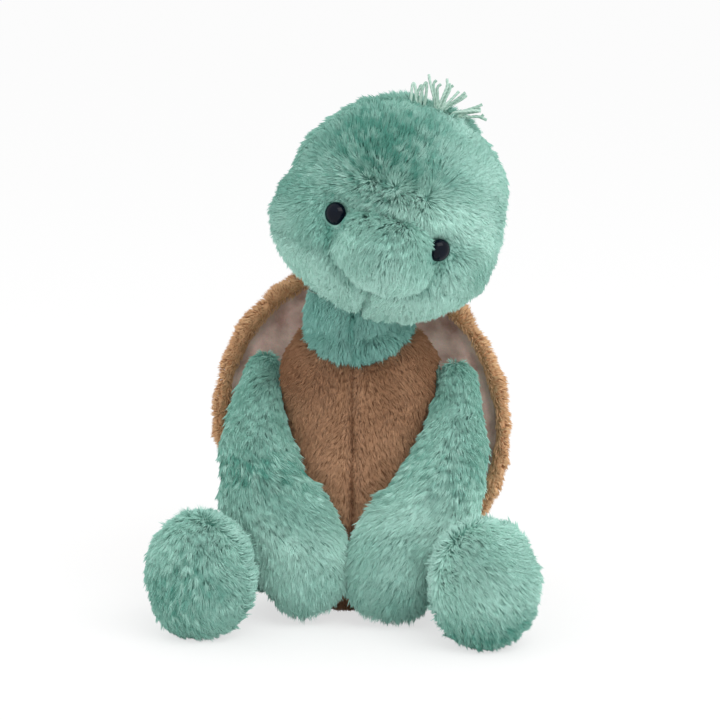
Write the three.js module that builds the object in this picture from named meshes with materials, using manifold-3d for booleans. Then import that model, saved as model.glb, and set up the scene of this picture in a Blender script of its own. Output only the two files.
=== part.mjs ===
// A sitting plush turtle: head, neck, body with a padded shell, two arms and two legs.
// Millimetres. +Z is up, the face looks along -Y, and +X is to the viewer's right.
// "Left" and "right" in the names are the viewer's left and right, seen from the front.
// The origin is the middle of the flat face that the seat rests on.
// Every stuffed form is a skin of sewn panels, one pile thick, around its own filling.
import * as THREE from 'three';
import { mergeVertices } from 'three/addons/utils/BufferGeometryUtils.js';
import Module from 'manifold-3d';

const wasm = await Module();
wasm.setup();

// Cloth, thread and clearances
const pileThickness = 5.5;      // backing cloth with its pile laid over
const seamGap = 0.4;            // between two panels along a seam
const fillingGap = 0.3;         // between a panel and the filling behind it
const restDepth = 0.5;          // how deep the floor flattens what stands on it
const threadDiameter = 0.8;     // seam thread that a limb turns on
const threadGap = 0.3;          // on each side of that thread
const overrun = 400;            // reach of a cutting block past everything
const weldDistance = 1e-4;      // corners nearer than this are one corner

// Body
const bodyHeight = 155;
const bodyHalfWidth = 54;
const bodyHalfDepth = 46;
const bodyLeanBack = 10;        // how far the neck seam's middle lies in front of the seat's middle
const bodySideSeam = 2;         // the seam between belly and back, behind the middle
const bibHalfWidth = 34;
const bibDrop = 29.5;
const bibTipDrop = 13.5;        // the bib's lowest point, below the top of the body
const pelletTop = 24;           // the pellets in the seat reach this high
// share of the body's height, of its half width, of its half depth, and of its lean
const bodySectionShares = [
  [0.020, 0.84, 0.83, 0.20],
  [0.090, 0.97, 0.96, 0.20],
  [0.200, 1.00, 1.01, 0.20],
  [0.400, 0.96, 1.01, 0.14],
  [0.620, 0.80, 0.95, 0.20],
  [0.810, 0.85, 0.80, 0.62],
  [0.910, 0.76, 0.69, 0.84],
  [1.000, 0.54, 0.60, 1.00],
];
const seatFlatShare = 0.66;     // the sat-on face, as a share of the body's widest section
const bodySquareness = 2.2;     // exponent of the body's rounded sections

// Neck: a short plug whose top is a ball that the head sits over
const neckRadius = 28.5;
const neckPivotForward = 12;
const neckPivotRise = 13;       // the neck's pivot, above the top of the body
const neckSkinTop = 10;         // the neck's panels end this high over its pivot
const neckThreadHeight = 9;

// Head, measured from the neck's pivot
const headTilt = 19.3;          // degrees to the viewer's right, at rest
const headTurn = 10;            // degrees to the viewer's right, at rest
const headHalfWidth = 58.5;
const headHalfDepth = 58;
const headHalfHeight = 59.5;
const headShift = -0.3;         // the head's middle from the pivot, along its own width
const headForward = 13.5;
const headRise = 58;
const faceSeamForward = 10;     // the seam over the crown, in front of the head's middle
const jawSeamDrop = 28;         // the seam between cheek and jaw, below the head's middle
const muzzleHalfWidth = 29.5;
const muzzleHalfDepth = 31;
const muzzleHalfHeight = 19;
const muzzleShift = -2;
const muzzleForward = 38;
const muzzleSeamForward = 34;   // the muzzle's seam lies in front of this
const muzzleDrop = 20;
const jowlHalfWidth = 36.5;
const jowlHalfDepth = 36;
const jowlHalfHeight = 32;
const jowlShift = -3.5;
const jowlSpread = 23;
const jowlForward = 11;
const jowlDrop = 15.5;

// Safety eyes
const eyeDiameter = 12;
const eyeHeight = 4.6;
const eyeShift = -4.9;          // the middle between the eyes, from the head's middle
const eyeSpread = 28.5;
const eyeDrop = 8.7;
const eyeSink = 1.6;            // how deep the eye's back lies in the pile
const eyeShankDiameter = 4.5;
const eyeShankLength = 10;
const eyeClearance = 0.3;
const washerDiameter = 15;
const washerThickness = 1.6;

// Yarn tufts on the crown
const yarnDiameter = 1.3;
const yarnLength = 16.5;
const tuftPitch = 1.5;          // from one strand's root to the next
const tuftRootDepth = 4;        // the bound roots reach this far into the seam
const tuftRootThickness = 1.8;
const yarnSway = 1.3;           // how far a strand bends fore or aft halfway up
const loopWidthShare = 0.5;     // a looped strand's reach to the side, of a straight one's
const loopHeightShare = 0.25;   // how far its end is lifted, of the yarn's length

// Arms, measured from the shoulder's pivot; outward is away from the body
const shoulderSpread = 56.3;
const shoulderForward = 9;
const shoulderDrop = 27.5;      // below the top of the body
const shoulderSlope = 1;        // left shoulder higher, right shoulder lower
const shoulderRadius = 15;
const shoulderThreadShare = 0.7;  // how far in its thread lies, of its radius
const armHalfWidth = 25;
const armHalfThickness = 15.5;
const armIn = 33;
const armReach = 54;
const armSeamForward = 9;       // the seam along the arm, in front of the pivot
const armEndHeight = 7.5;       // the paw's end, above the floor

// Legs, measured from the hip's pivot
const hipSpread = 51;
const hipForward = 25;
const hipHeight = 24;
const hipRadius = 16;
const hipThreadShare = 0.5;     // how far in its thread lies, of its radius
const legSplay = 20;            // degrees outward from straight ahead
const legLength = 71;           // pivot to the middle of the foot
const legHalfWidth = 12.5;
const footHalfWidth = 28.2;
const footHalfHeight = 34;
const footHalfLength = 23.5;
const footHeight = 33.5;
const soleSeamForward = 4;      // the sole's seam, in front of the foot's widest section

// Shell
const shellHalfWidth = 85;
const shellHalfHeight = 92;
const shellHeight = 95;         // middle of the shell over the floor
const shellShift = -3.2;        // its middle from the body's, along X
const shellBack = 49.7;         // its lining's edge, behind the body's middle
const liningCrown = 5;          // how far the lining's middle swells towards the back
const shellDome = 34;           // thickness through the middle
const shellWrap = 30;           // how far the sides come forward
const shellRoll = -16;          // degrees, its top towards the viewer's right where positive
const liningThickness = 2.5;
const waddingGap = 0.9;         // between the wadding and the curved cloth around it
// share of the shell's half width and of its dome, from the back's middle to the lip
const shellProfileShares = [
  [0.00, 1.00],
  [0.30, 0.965],
  [0.55, 0.84],
  [0.76, 0.64],
  [0.90, 0.42],
  [0.975, 0.24],
  [1.00, 0.06],
  [0.985, -0.10],
  [0.94, -0.15],
];
const liningShare = 0.90;       // the lining's half width, as a share of the shell's
const paddingShares = [0, 0.35, 0.65, 0.88, 1];  // of the half width inside the rim

// Faces around each form
const bodyFacets = 16;
const shellFacets = 20;
const ballFacets = 12;
const headFacets = 14;
const cheekFacets = 12;
const armFacets = 10;
const legFacets = 12;
const eyeFacets = 10;
const postFacets = 8;
const threadFacets = 18;
const threadSides = 4;
const yarnSides = 4;
const yarnSteps = 3;

const pile = (color) => new THREE.MeshStandardMaterial({ color, roughness: 0.95, metalness: 0 });
const greenPile = pile('#71a294');
const crownPile = pile('#5a867b');
const bibPile = pile('#5c837b');
const brownPile = pile('#85634d');
const tanPile = pile('#b38f6b');
const taupePlush = pile('#98806b');
const fibre = pile('#f0eee8');
const pellets = pile('#d9d6cc');
const yarn = pile('#aac5b7');
const thread = pile('#6f8f84');
const eyePlastic = new THREE.MeshStandardMaterial({ color: '#202932', roughness: 0.08, metalness: 0 });
const washerPlastic = new THREE.MeshStandardMaterial({ color: '#e6e6e2', roughness: 0.5, metalness: 0 });

// A closed geometry with only its shared vertices left, and back from a solid
function solid(geometry) {
  const bare = geometry.clone();
  for (const name of Object.keys(bare.attributes)) {
    if (name !== 'position') bare.deleteAttribute(name);
  }
  const merged = mergeVertices(bare, weldDistance);
  return new wasm.Manifold(new wasm.Mesh({
    numProp: 3,
    vertProperties: new Float32Array(merged.attributes.position.array),
    triVerts: new Uint32Array(merged.index.array),
  }));
}

function geometryOf(form) {
  const mesh = form.getMesh();
  const points = new Float32Array(mesh.numVert * 3);
  for (let i = 0; i < mesh.numVert; i += 1) {
    points.set(mesh.vertProperties.subarray(i * mesh.numProp, i * mesh.numProp + 3), i * 3);
  }
  const geometry = new THREE.BufferGeometry();
  geometry.setAttribute('position', new THREE.BufferAttribute(points, 3));
  geometry.setIndex(new THREE.BufferAttribute(new Uint32Array(mesh.triVerts), 1));
  geometry.computeVertexNormals();
  return geometry;
}

function piece(name, shape, material) {
  const geometry = shape.isBufferGeometry ? shape : geometryOf(shape);
  const mesh = new THREE.Mesh(geometry, material);
  mesh.name = name;
  return mesh;
}

// Rings of points joined one to the next, with a fan of faces over each end
function loft(rings) {
  const count = rings[0].length;
  const points = rings.flat();
  const faces = [];
  for (let k = 0; k + 1 < rings.length; k += 1) {
    for (let i = 0; i < count; i += 1) {
      const a = k * count + i;
      const b = k * count + ((i + 1) % count);
      faces.push(a, b, b + count, a, b + count, a + count);
    }
  }
  const middle = (ring) => ring.reduce((sum, p) => sum.add(p), new THREE.Vector3()).divideScalar(count);
  const first = points.push(middle(rings[0])) - 1;
  const last = points.push(middle(rings[rings.length - 1])) - 1;
  const end = (rings.length - 1) * count;
  for (let i = 0; i < count; i += 1) {
    const j = (i + 1) % count;
    faces.push(first, j, i);
    faces.push(last, end + i, end + j);
  }
  const geometry = new THREE.BufferGeometry().setFromPoints(points);
  geometry.setIndex(faces);
  return outward(geometry);
}

// A turned surface closed along its seam and on its axis
function welded(geometry) {
  const bare = geometry.clone();
  bare.deleteAttribute('normal');
  bare.deleteAttribute('uv');
  return outward(mergeVertices(bare, weldDistance));
}

// The same closed geometry with its faces pointing out
function outward(geometry) {
  const p = geometry.attributes.position;
  const index = geometry.index.array;
  const [a, b, c] = [new THREE.Vector3(), new THREE.Vector3(), new THREE.Vector3()];
  let volume = 0;
  for (let i = 0; i < index.length; i += 3) {
    a.fromBufferAttribute(p, index[i]);
    b.fromBufferAttribute(p, index[i + 1]);
    c.fromBufferAttribute(p, index[i + 2]);
    volume += a.dot(b.cross(c));
  }
  if (volume < 0) {
    for (let i = 0; i < index.length; i += 3) {
      [index[i], index[i + 1]] = [index[i + 1], index[i]];
    }
  }
  return geometry;
}

const ball = (radius, centre) => solid(
  new THREE.SphereGeometry(radius, ballFacets, ballFacets / 2)
    .rotateX(Math.PI / 2).translate(centre.x, centre.y, centre.z),
);

// A ball whose flattened faces all stay outside the given radius
function hollow(radius, centre) {
  return ball(radius / Math.cos(Math.PI / ballFacets) ** 2, centre);
}

function ellipsoid(halfSizes, centre, inset, facets) {
  return solid(new THREE.SphereGeometry(1, facets, facets / 2)
    .rotateX(Math.PI / 2)
    .scale(halfSizes.x - inset, halfSizes.y - inset, halfSizes.z - inset)
    .translate(centre.x, centre.y, centre.z));
}

// Everything on one side of a plane, as a block that starts at the plane
function beyond(point, normal, gap = 0) {
  const turn = new THREE.Quaternion().setFromUnitVectors(
    new THREE.Vector3(0, 0, 1), normal.clone().normalize(),
  );
  const block = new THREE.BoxGeometry(overrun, overrun, overrun)
    .translate(0, 0, overrun / 2 + gap)
    .applyQuaternion(turn)
    .translate(point.x, point.y, point.z);
  return solid(block);
}

// An upright oval prism that runs along Y, in front of its middle
function ovalAlongY(halfWidth, halfHeight, centre) {
  return solid(new THREE.CylinderGeometry(1, 1, 1, headFacets)
    .scale(halfWidth, overrun, halfHeight)
    .translate(centre.x, centre.y - overrun / 2, centre.z));
}

const right = new THREE.Vector3(1, 0, 0);
const back = new THREE.Vector3(0, 1, 0);
const up = new THREE.Vector3(0, 0, 1);
const origin = new THREE.Vector3();

// The two halves of a form on either side of a plane, a seam apart
function seamed(form, point, normal) {
  const reverse = normal.clone().negate();
  return [
    form.intersect(beyond(point, reverse, seamGap / 2)),
    form.intersect(beyond(point, normal, seamGap / 2)),
  ];
}

// A superellipse of the given half sizes in the plane of two unit vectors
function section(centre, across, along, halfAcross, halfAlong, facets, squareness = 2) {
  const ring = [];
  for (let i = 0; i < facets; i += 1) {
    const angle = (2 * Math.PI * i) / facets;
    const u = Math.sign(Math.cos(angle)) * Math.abs(Math.cos(angle)) ** (2 / squareness);
    const v = Math.sign(Math.sin(angle)) * Math.abs(Math.sin(angle)) ** (2 / squareness);
    ring.push(centre.clone().addScaledVector(across, u * halfAcross).addScaledVector(along, v * halfAlong));
  }
  return ring;
}

// Pivots
const neckPivot = new THREE.Vector3(0, -neckPivotForward, bodyHeight + neckPivotRise);
const shoulderHeight = bodyHeight - shoulderDrop;
const shoulderPivot = (side) => new THREE.Vector3(
  side * shoulderSpread, -shoulderForward, shoulderHeight - side * shoulderSlope,
);
const hipPivot = (side) => new THREE.Vector3(side * hipSpread, -hipForward, hipHeight);
const seamRoom = 2 * threadGap + threadDiameter;
const shoulderSeat = shoulderRadius + seamRoom;
const hipSeat = hipRadius + seamRoom;
const headSeat = neckRadius + seamRoom;

// Body form, drawn in by an inset, with the hollows that arms and legs sit in
function bodyForm(inset) {
  const rings = [];
  const seatCentre = new THREE.Vector3(0, 0, inset - restDepth);
  const seatHalfWidth = bodyHalfWidth * seatFlatShare - inset;
  const seatHalfDepth = bodyHalfDepth * seatFlatShare - inset;
  rings.push(section(seatCentre, right, back, seatHalfWidth, seatHalfDepth, bodyFacets, bodySquareness));
  for (const [heightShare, widthShare, depthShare, leanShare] of bodySectionShares) {
    const height = inset + heightShare * (bodyHeight - inset);
    const centre = new THREE.Vector3(0, -leanShare * bodyLeanBack, height);
    rings.push(section(
      centre, right, back,
      bodyHalfWidth * widthShare - inset, bodyHalfDepth * depthShare - inset, bodyFacets, bodySquareness,
    ));
  }
  let form = solid(loft(rings));
  for (const side of [-1, 1]) {
    form = form.subtract(hollow(shoulderSeat + inset, shoulderPivot(side)));
    form = form.subtract(hollow(hipSeat + inset, hipPivot(side)));
  }
  return form.intersect(beyond(origin, up));
}

function makeBody() {
  const skin = bodyForm(0).subtract(bodyForm(pileThickness));
  const sidePoint = new THREE.Vector3(0, bodySideSeam, 0);
  const [front, rear] = seamed(skin, sidePoint, back);
  const bibCentre = new THREE.Vector3(0, 0, bodyHeight - bibTipDrop + bibDrop);
  const bib = front.intersect(ovalAlongY(bibHalfWidth, bibDrop, bibCentre));
  const belly = front.subtract(ovalAlongY(bibHalfWidth + seamGap, bibDrop + seamGap, bibCentre));
  const [bibLeft, bibRight] = seamed(bib, origin, right);
  const [bellyLeft, bellyRight] = seamed(belly, origin, right);
  const [backLeft, backRight] = seamed(rear, origin, right);
  const inside = bodyForm(pileThickness + fillingGap);
  const pelletPoint = new THREE.Vector3(0, 0, pelletTop);
  const [seatPellets, filling] = seamed(inside, pelletPoint, up);
  return [
    piece('bib_left_panel', bibLeft, bibPile),
    piece('bib_right_panel', bibRight, bibPile),
    piece('belly_left_panel', bellyLeft, brownPile),
    piece('belly_right_panel', bellyRight, brownPile),
    piece('back_left_panel', backLeft, greenPile),
    piece('back_right_panel', backRight, greenPile),
    piece('torso_filling', filling, fibre),
    piece('seat_pellet_bag', seatPellets, pellets),
  ];
}

// Shell: three dishes turned about Y, stretched upright, wrapped around the body and rolled
function dish(profile) {
  const points = profile.map(([radius, depth]) => new THREE.Vector2(radius, depth));
  const geometry = new THREE.LatheGeometry(points, shellFacets);
  geometry.scale(1, 1, shellHalfHeight / shellHalfWidth);
  geometry.rotateY(THREE.MathUtils.degToRad(shellRoll));
  const p = geometry.attributes.position;
  for (let i = 0; i < p.count; i += 1) {
    const across = p.getX(i) / shellHalfWidth;
    p.setY(i, p.getY(i) - shellWrap * across * across);
  }
  geometry.translate(shellShift, shellBack, shellHeight);
  return welded(geometry);
}

function makeShell() {
  const outer = shellProfileShares.map(([r, d]) => [r * shellHalfWidth, d * shellDome]);
  // the back's depth at a radius, along the straight stretches of its outline
  const depthAt = (radius) => {
    const k = outer.findIndex(([r], i) => i + 1 < outer.length && radius <= outer[i + 1][0]);
    const [[r0, d0], [r1, d1]] = [outer[k], outer[k + 1]];
    return d0 + ((radius - r0) / (r1 - r0)) * (d1 - d0);
  };
  const liningRadius = liningShare * shellHalfWidth;
  const crown = (radius) => -liningCrown * (1 - (radius / liningRadius) ** 2);
  const waddingRadius = liningRadius - pileThickness - waddingGap;
  const radii = paddingShares.map((share) => share * waddingRadius);
  const wall = (inset) => radii.map((radius) => [radius, depthAt(radius) - inset]);
  const face = (depth) => radii.map((radius) => [radius, crown(radius) + depth]);
  const lip = liningRadius + seamGap;
  const cover = [...outer, [lip, 0], [lip, liningThickness], ...wall(pileThickness).reverse()];
  const wadding = [
    ...wall(pileThickness + waddingGap),
    ...face(liningThickness + waddingGap).reverse(),
  ];
  const lining = [
    ...face(liningThickness),
    [liningRadius, liningThickness],
    [liningRadius, 0],
    ...face(0).reverse(),
  ];
  return [
    piece('shell_cover', dish(cover), tanPile),
    piece('shell_wadding', dish(wadding), fibre),
    piece('shell_lining', dish(lining), taupePlush),
  ];
}

// Neck: a plug with a ball top, turned about the upright through its pivot
function makeNeck() {
  const bottom = seamGap - neckPivotRise;
  const steps = ballFacets / 2;
  const capFrom = (radius, start) => {
    const low = Math.asin(start / radius);
    const arc = [];
    for (let i = 0; i <= steps; i += 1) {
      const angle = low + (i / steps) * (Math.PI / 2 - low);
      arc.push([radius * Math.cos(angle), radius * Math.sin(angle)]);
    }
    arc[steps][0] = 0;
    return arc;
  };
  const innerRadius = neckRadius - pileThickness;
  const coreRadius = innerRadius - fillingGap;
  const skinArc = capFrom(neckRadius, 0).filter(([, z]) => z < neckSkinTop);
  const skinEnd = Math.sqrt(neckRadius ** 2 - neckSkinTop ** 2);
  const skin = [
    [innerRadius, bottom],
    [neckRadius, bottom],
    ...skinArc,
    [skinEnd, neckSkinTop],
    [innerRadius, neckSkinTop],
    [innerRadius, bottom],
  ];
  const capStart = neckSkinTop + fillingGap;
  const core = [
    [0, bottom],
    [coreRadius, bottom],
    [coreRadius, capStart],
    ...capFrom(neckRadius, capStart),
  ];
  const turned = (profile) => {
    const geometry = new THREE.LatheGeometry(profile.map(([r, z]) => new THREE.Vector2(r, z)), headFacets);
    return welded(geometry.rotateX(Math.PI / 2));
  };
  const [left, rightHalf] = seamed(solid(turned(skin)), origin, right);
  const group = new THREE.Group();
  group.position.copy(neckPivot);
  group.add(
    piece('neck_left_panel', left, bibPile),
    piece('neck_right_panel', rightHalf, bibPile),
    piece('neck_filling', turned(core), fibre),
    seamThread('neck_seam_thread', neckRadius, up, neckThreadHeight),
  );
  return group;
}

// A ring of thread that lies on the ball of a joint, this far along its axis
function seamThread(name, ballRadius, axis, along) {
  const reach = ballRadius + threadGap + threadDiameter / 2;
  const radius = Math.sqrt(reach ** 2 - along ** 2);
  const turn = new THREE.Quaternion().setFromUnitVectors(up, axis.clone().normalize());
  const ring = new THREE.TorusGeometry(radius, threadDiameter / 2, threadSides, threadFacets)
    .translate(0, 0, along)
    .applyQuaternion(turn);
  return piece(name, geometryOf(solid(ring)), thread);
}

// Head form around the neck's pivot, drawn in by an inset, with the hollow for the neck
const headCentre = new THREE.Vector3(headShift, -headForward, headRise);
function headForm(inset) {
  const skull = new THREE.Vector3(headHalfWidth, headHalfDepth, headHalfHeight);
  const muzzle = new THREE.Vector3(muzzleHalfWidth, muzzleHalfDepth, muzzleHalfHeight);
  const jowl = new THREE.Vector3(jowlHalfWidth, jowlHalfDepth, jowlHalfHeight);
  const place = (x, y, z) => headCentre.clone().add(new THREE.Vector3(x, y, z));
  let form = ellipsoid(skull, headCentre, inset, headFacets);
  form = form.add(ellipsoid(muzzle, place(muzzleShift, -muzzleForward, -muzzleDrop), inset, cheekFacets));
  for (const side of [-1, 1]) {
    const cheek = place(jowlShift + side * jowlSpread, -jowlForward, -jowlDrop);
    form = form.add(ellipsoid(jowl, cheek, inset, cheekFacets));
  }
  return form.subtract(hollow(headSeat + inset, origin));
}

// The point of the skull at a given place across and up, and the direction it faces
function onSkull(across, rise) {
  const u = across / headHalfWidth;
  const w = rise / headHalfHeight;
  const forward = -headHalfDepth * Math.sqrt(1 - u * u - w * w);
  const normal = new THREE.Vector3(
    across / headHalfWidth ** 2, forward / headHalfDepth ** 2, rise / headHalfHeight ** 2,
  ).normalize();
  return { point: headCentre.clone().add(new THREE.Vector3(across, forward, rise)), normal };
}

// A post of the given radius along an eye's axis, between two depths below the pile's face
function eyePost(side, radius, from, to) {
  const { point, normal } = onSkull(eyeShift + side * eyeSpread, -eyeDrop);
  const turn = new THREE.Quaternion().setFromUnitVectors(back, normal);
  return solid(new THREE.CylinderGeometry(radius, radius, to - from, postFacets)
    .translate(0, -(from + to) / 2, 0)
    .applyQuaternion(turn)
    .translate(point.x, point.y, point.z));
}

function makeEyes() {
  const parts = [];
  for (const [side, word] of [[-1, 'left'], [1, 'right']]) {
    const { point, normal } = onSkull(eyeShift + side * eyeSpread, -eyeDrop);
    const turn = new THREE.Quaternion().setFromUnitVectors(up, normal);
    const dome = solid(new THREE.SphereGeometry(1, eyeFacets, eyeFacets / 2)
      .rotateX(Math.PI / 2)
      .scale(eyeDiameter / 2, eyeDiameter / 2, eyeHeight)
      .applyQuaternion(turn)
      .translate(point.x, point.y, point.z)
      .translate(-normal.x * eyeSink, -normal.y * eyeSink, -normal.z * eyeSink));
    const base = point.clone().addScaledVector(normal, -eyeSink);
    const eye = dome.intersect(beyond(base, normal))
      .add(eyePost(side, eyeShankDiameter / 2, eyeSink - eyeClearance, eyeSink + eyeShankLength));
    const washerFrom = pileThickness + eyeClearance;
    const washer = eyePost(side, washerDiameter / 2, washerFrom, washerFrom + washerThickness)
      .subtract(eyePost(side, eyeShankDiameter / 2 + eyeClearance, 0, overrun));
    parts.push(piece(`eye_${word}`, eye, eyePlastic), piece(`eye_washer_${word}`, washer, washerPlastic));
  }
  return parts;
}

// Tufts: place is how far right of the head's middle they stand, lean and fan are in radians
const tufts = [
  { word: 'left', place: -8.5, strands: 3, lean: -0.30, fan: 0.16, looped: true },
  { word: 'middle', place: 3.5, strands: 6, lean: -0.08, fan: 0.17, looped: false },
  { word: 'right', place: 15, strands: 5, lean: 0.36, fan: 0.14, looped: false },
];

// The frame of a tuft: on the crown seam, this far across the head
function tuftFrame(place) {
  const u = place / headHalfWidth;
  const v = faceSeamForward / headHalfDepth;
  const rise = headHalfHeight * Math.sqrt(1 - u * u - v * v);
  const normal = new THREE.Vector3(place / headHalfWidth ** 2, 0, rise / headHalfHeight ** 2).normalize();
  const root = headCentre.clone().add(new THREE.Vector3(place, -faceSeamForward, rise));
  const turn = new THREE.Quaternion().setFromUnitVectors(up, normal);
  return { root, turn };
}

function tuftRoot(tuft, extra) {
  const { root, turn } = tuftFrame(tuft.place);
  const length = tuft.strands * tuftPitch + 2 * extra;
  const height = tuftRootDepth + yarnDiameter + extra;
  const bar = new THREE.BoxGeometry(length, tuftRootThickness + 2 * extra, height)
    .translate(0, 0, (yarnDiameter - tuftRootDepth - extra) / 2)
    .applyQuaternion(turn)
    .translate(root.x, root.y, root.z);
  return solid(bar);
}

function makeTuft(tuft) {
  const { root, turn } = tuftFrame(tuft.place);
  const ringShape = new THREE.Shape();
  ringShape.absarc(0, 0, yarnDiameter / 2, 0, 2 * Math.PI);
  let form = tuftRoot(tuft, 0);
  for (let i = 0; i < tuft.strands; i += 1) {
    const order = i - (tuft.strands - 1) / 2;
    const start = new THREE.Vector3(order * tuftPitch, 0, 0);
    const angle = tuft.lean + order * tuft.fan;
    const sway = (i % 2 === 0 ? -1 : 1) * yarnSway;
    const tip = new THREE.Vector3(Math.sin(angle), 0, Math.cos(angle)).multiplyScalar(yarnLength);
    const end = start.clone().add(tip).addScaledVector(back, 2 * sway);
    const high = start.clone().addScaledVector(up, yarnLength / 2).addScaledVector(back, sway);
    if (tuft.looped) end.multiplyScalar(loopWidthShare).addScaledVector(up, loopHeightShare * yarnLength);
    const path = new THREE.QuadraticBezierCurve3(start, high, end);
    const strand = new THREE.ExtrudeGeometry(ringShape, {
      extrudePath: path, steps: yarnSteps, curveSegments: yarnSides, bevelEnabled: false,
    });
    strand.applyQuaternion(turn).translate(root.x, root.y, root.z);
    form = form.add(solid(strand));
  }
  return piece(`hair_tuft_${tuft.word}`, form, yarn);
}

function makeHead() {
  const skin = headForm(0).subtract(headForm(pileThickness));
  const facePoint = headCentre.clone().addScaledVector(back, -faceSeamForward);
  let [face, rear] = seamed(skin, facePoint, back);
  let filling = headForm(pileThickness + fillingGap);
  for (const tuft of tufts) {
    const slot = tuftRoot(tuft, fillingGap);
    face = face.subtract(slot);
    rear = rear.subtract(slot);
  }
  for (const side of [-1, 1]) {
    const reach = eyeSink + eyeShankLength + eyeClearance;
    const hole = eyePost(side, eyeShankDiameter / 2 + eyeClearance, -overrun / 2, reach);
    const socket = eyePost(side, eyeDiameter / 2 + eyeClearance, -overrun / 2, eyeSink + eyeClearance);
    const washerRoom = pileThickness + 2 * eyeClearance + washerThickness;
    const washerRadius = washerDiameter / 2 + eyeClearance;
    face = face.subtract(hole).subtract(socket)
      .subtract(eyePost(side, washerRadius, pileThickness, washerRoom));
    filling = filling.subtract(hole)
      .subtract(eyePost(side, washerRadius, -overrun / 2, washerRoom));
  }
  const muzzleCentre = headCentre.clone()
    .add(new THREE.Vector3(muzzleShift, -muzzleSeamForward, -muzzleDrop));
  const muzzle = face.intersect(ovalAlongY(muzzleHalfWidth, muzzleHalfHeight, muzzleCentre));
  const around = face.subtract(
    ovalAlongY(muzzleHalfWidth + seamGap, muzzleHalfHeight + seamGap, muzzleCentre),
  );
  const jawPoint = headCentre.clone().addScaledVector(up, -jawSeamDrop);
  const [jaw, forehead] = seamed(around, jawPoint, up);
  const [jawLeft, jawRight] = seamed(jaw, headCentre, right);
  const [backLeft, backRight] = seamed(rear, headCentre, right);
  const group = new THREE.Group();
  group.position.copy(neckPivot);
  group.rotation.order = 'ZYX';
  group.rotation.set(0, THREE.MathUtils.degToRad(headTilt), THREE.MathUtils.degToRad(headTurn));
  group.add(
    piece('head_forehead_panel', forehead, crownPile),
    piece('head_muzzle_panel', muzzle, greenPile),
    piece('head_jaw_left_panel', jawLeft, greenPile),
    piece('head_jaw_right_panel', jawRight, greenPile),
    piece('head_back_left_panel', backLeft, crownPile),
    piece('head_back_right_panel', backRight, crownPile),
    piece('head_filling', filling, fibre),
    ...makeEyes(),
    ...tufts.map(makeTuft),
  );
  return group;
}

// An arm's sections along its spine, its ball end joined on, drawn in by an inset
function armForm(spine, profile, across, ballRadius, inset) {
  const rings = profile.map(([share, halfAcross, halfAlong]) => {
    const tangent = spine.getTangent(share);
    const side = across.clone().addScaledVector(tangent, -across.dot(tangent)).normalize();
    const along = new THREE.Vector3().crossVectors(tangent, side);
    return section(spine.getPoint(share), side, along, halfAcross - inset, halfAlong - inset, armFacets);
  });
  return solid(loft(rings)).add(ball(ballRadius - inset, origin));
}

// the arm's middle line as shares of its way in, its reach and its drop
const armSpineShares = [
  [0.00, 0.00, 0.000],
  [0.00, 0.22, 0.120],
  [0.06, 0.51, 0.260],
  [0.20, 0.73, 0.395],
  [0.40, 0.87, 0.535],
  [0.82, 0.95, 0.680],
  [0.96, 0.99, 0.830],
  [1.00, 1.00, 1.000],
];
// share along the arm, of its half width and of its half thickness
const armSectionShares = [
  [0.020, 0.26, 0.60],
  [0.143, 0.49, 0.80],
  [0.286, 0.73, 0.93],
  [0.429, 0.86, 0.98],
  [0.571, 0.98, 1.00],
  [0.714, 0.94, 0.98],
  [0.857, 0.90, 0.95],
  [0.960, 0.66, 0.66],
  [1.000, 0.28, 0.30],
];

function makeArm(side, word) {
  const armDrop = shoulderHeight - armEndHeight;
  const spine = new THREE.CatmullRomCurve3(armSpineShares.map(([inward, reach, drop]) => (
    new THREE.Vector3(-side * inward * armIn, -reach * armReach, -drop * armDrop)
  )));
  const form = (inset) => {
    const shrink = inset / (armDrop + armReach);
    const profile = armSectionShares.map(([share, w, t]) => [
      share * (1 - shrink), w * armHalfWidth, t * armHalfThickness,
    ]);
    return armForm(spine, profile, right, shoulderRadius, inset);
  };
  const skin = form(0).subtract(form(pileThickness));
  const seamNormal = new THREE.Vector3(0, armDrop, -armReach);
  const seamPoint = new THREE.Vector3(0, -armSeamForward, 0);
  const [front, rear] = seamed(skin, seamPoint, seamNormal);
  const group = new THREE.Group();
  group.position.copy(shoulderPivot(side));
  group.add(
    piece(`arm_${word}_front_panel`, front, greenPile),
    piece(`arm_${word}_back_panel`, rear, greenPile),
    piece(`arm_${word}_filling`, form(pileThickness + fillingGap), fibre),
    seamThread(
      `arm_${word}_seam_thread`, shoulderRadius,
      new THREE.Vector3(-side, 0, 0), shoulderThreadShare * shoulderRadius,
    ),
  );
  return group;
}

// share of the way from hip to ankle, of the leg's half width, across and up, and of its rise
const legSectionShares = [
  [0.0, 0.82, 0.82, 0.0],
  [0.5, 0.93, 0.95, 0.3],
  [1.0, 1.04, 1.10, 0.7],
];
const footRings = 5;
const footStartShare = 0.30;    // share of the half turn at which the foot's swell starts
const footSweepShare = 0.68;    // share of the half turn that it goes through
const footFullness = 0.95;       // exponent of its swell; a smaller one is fuller

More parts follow.
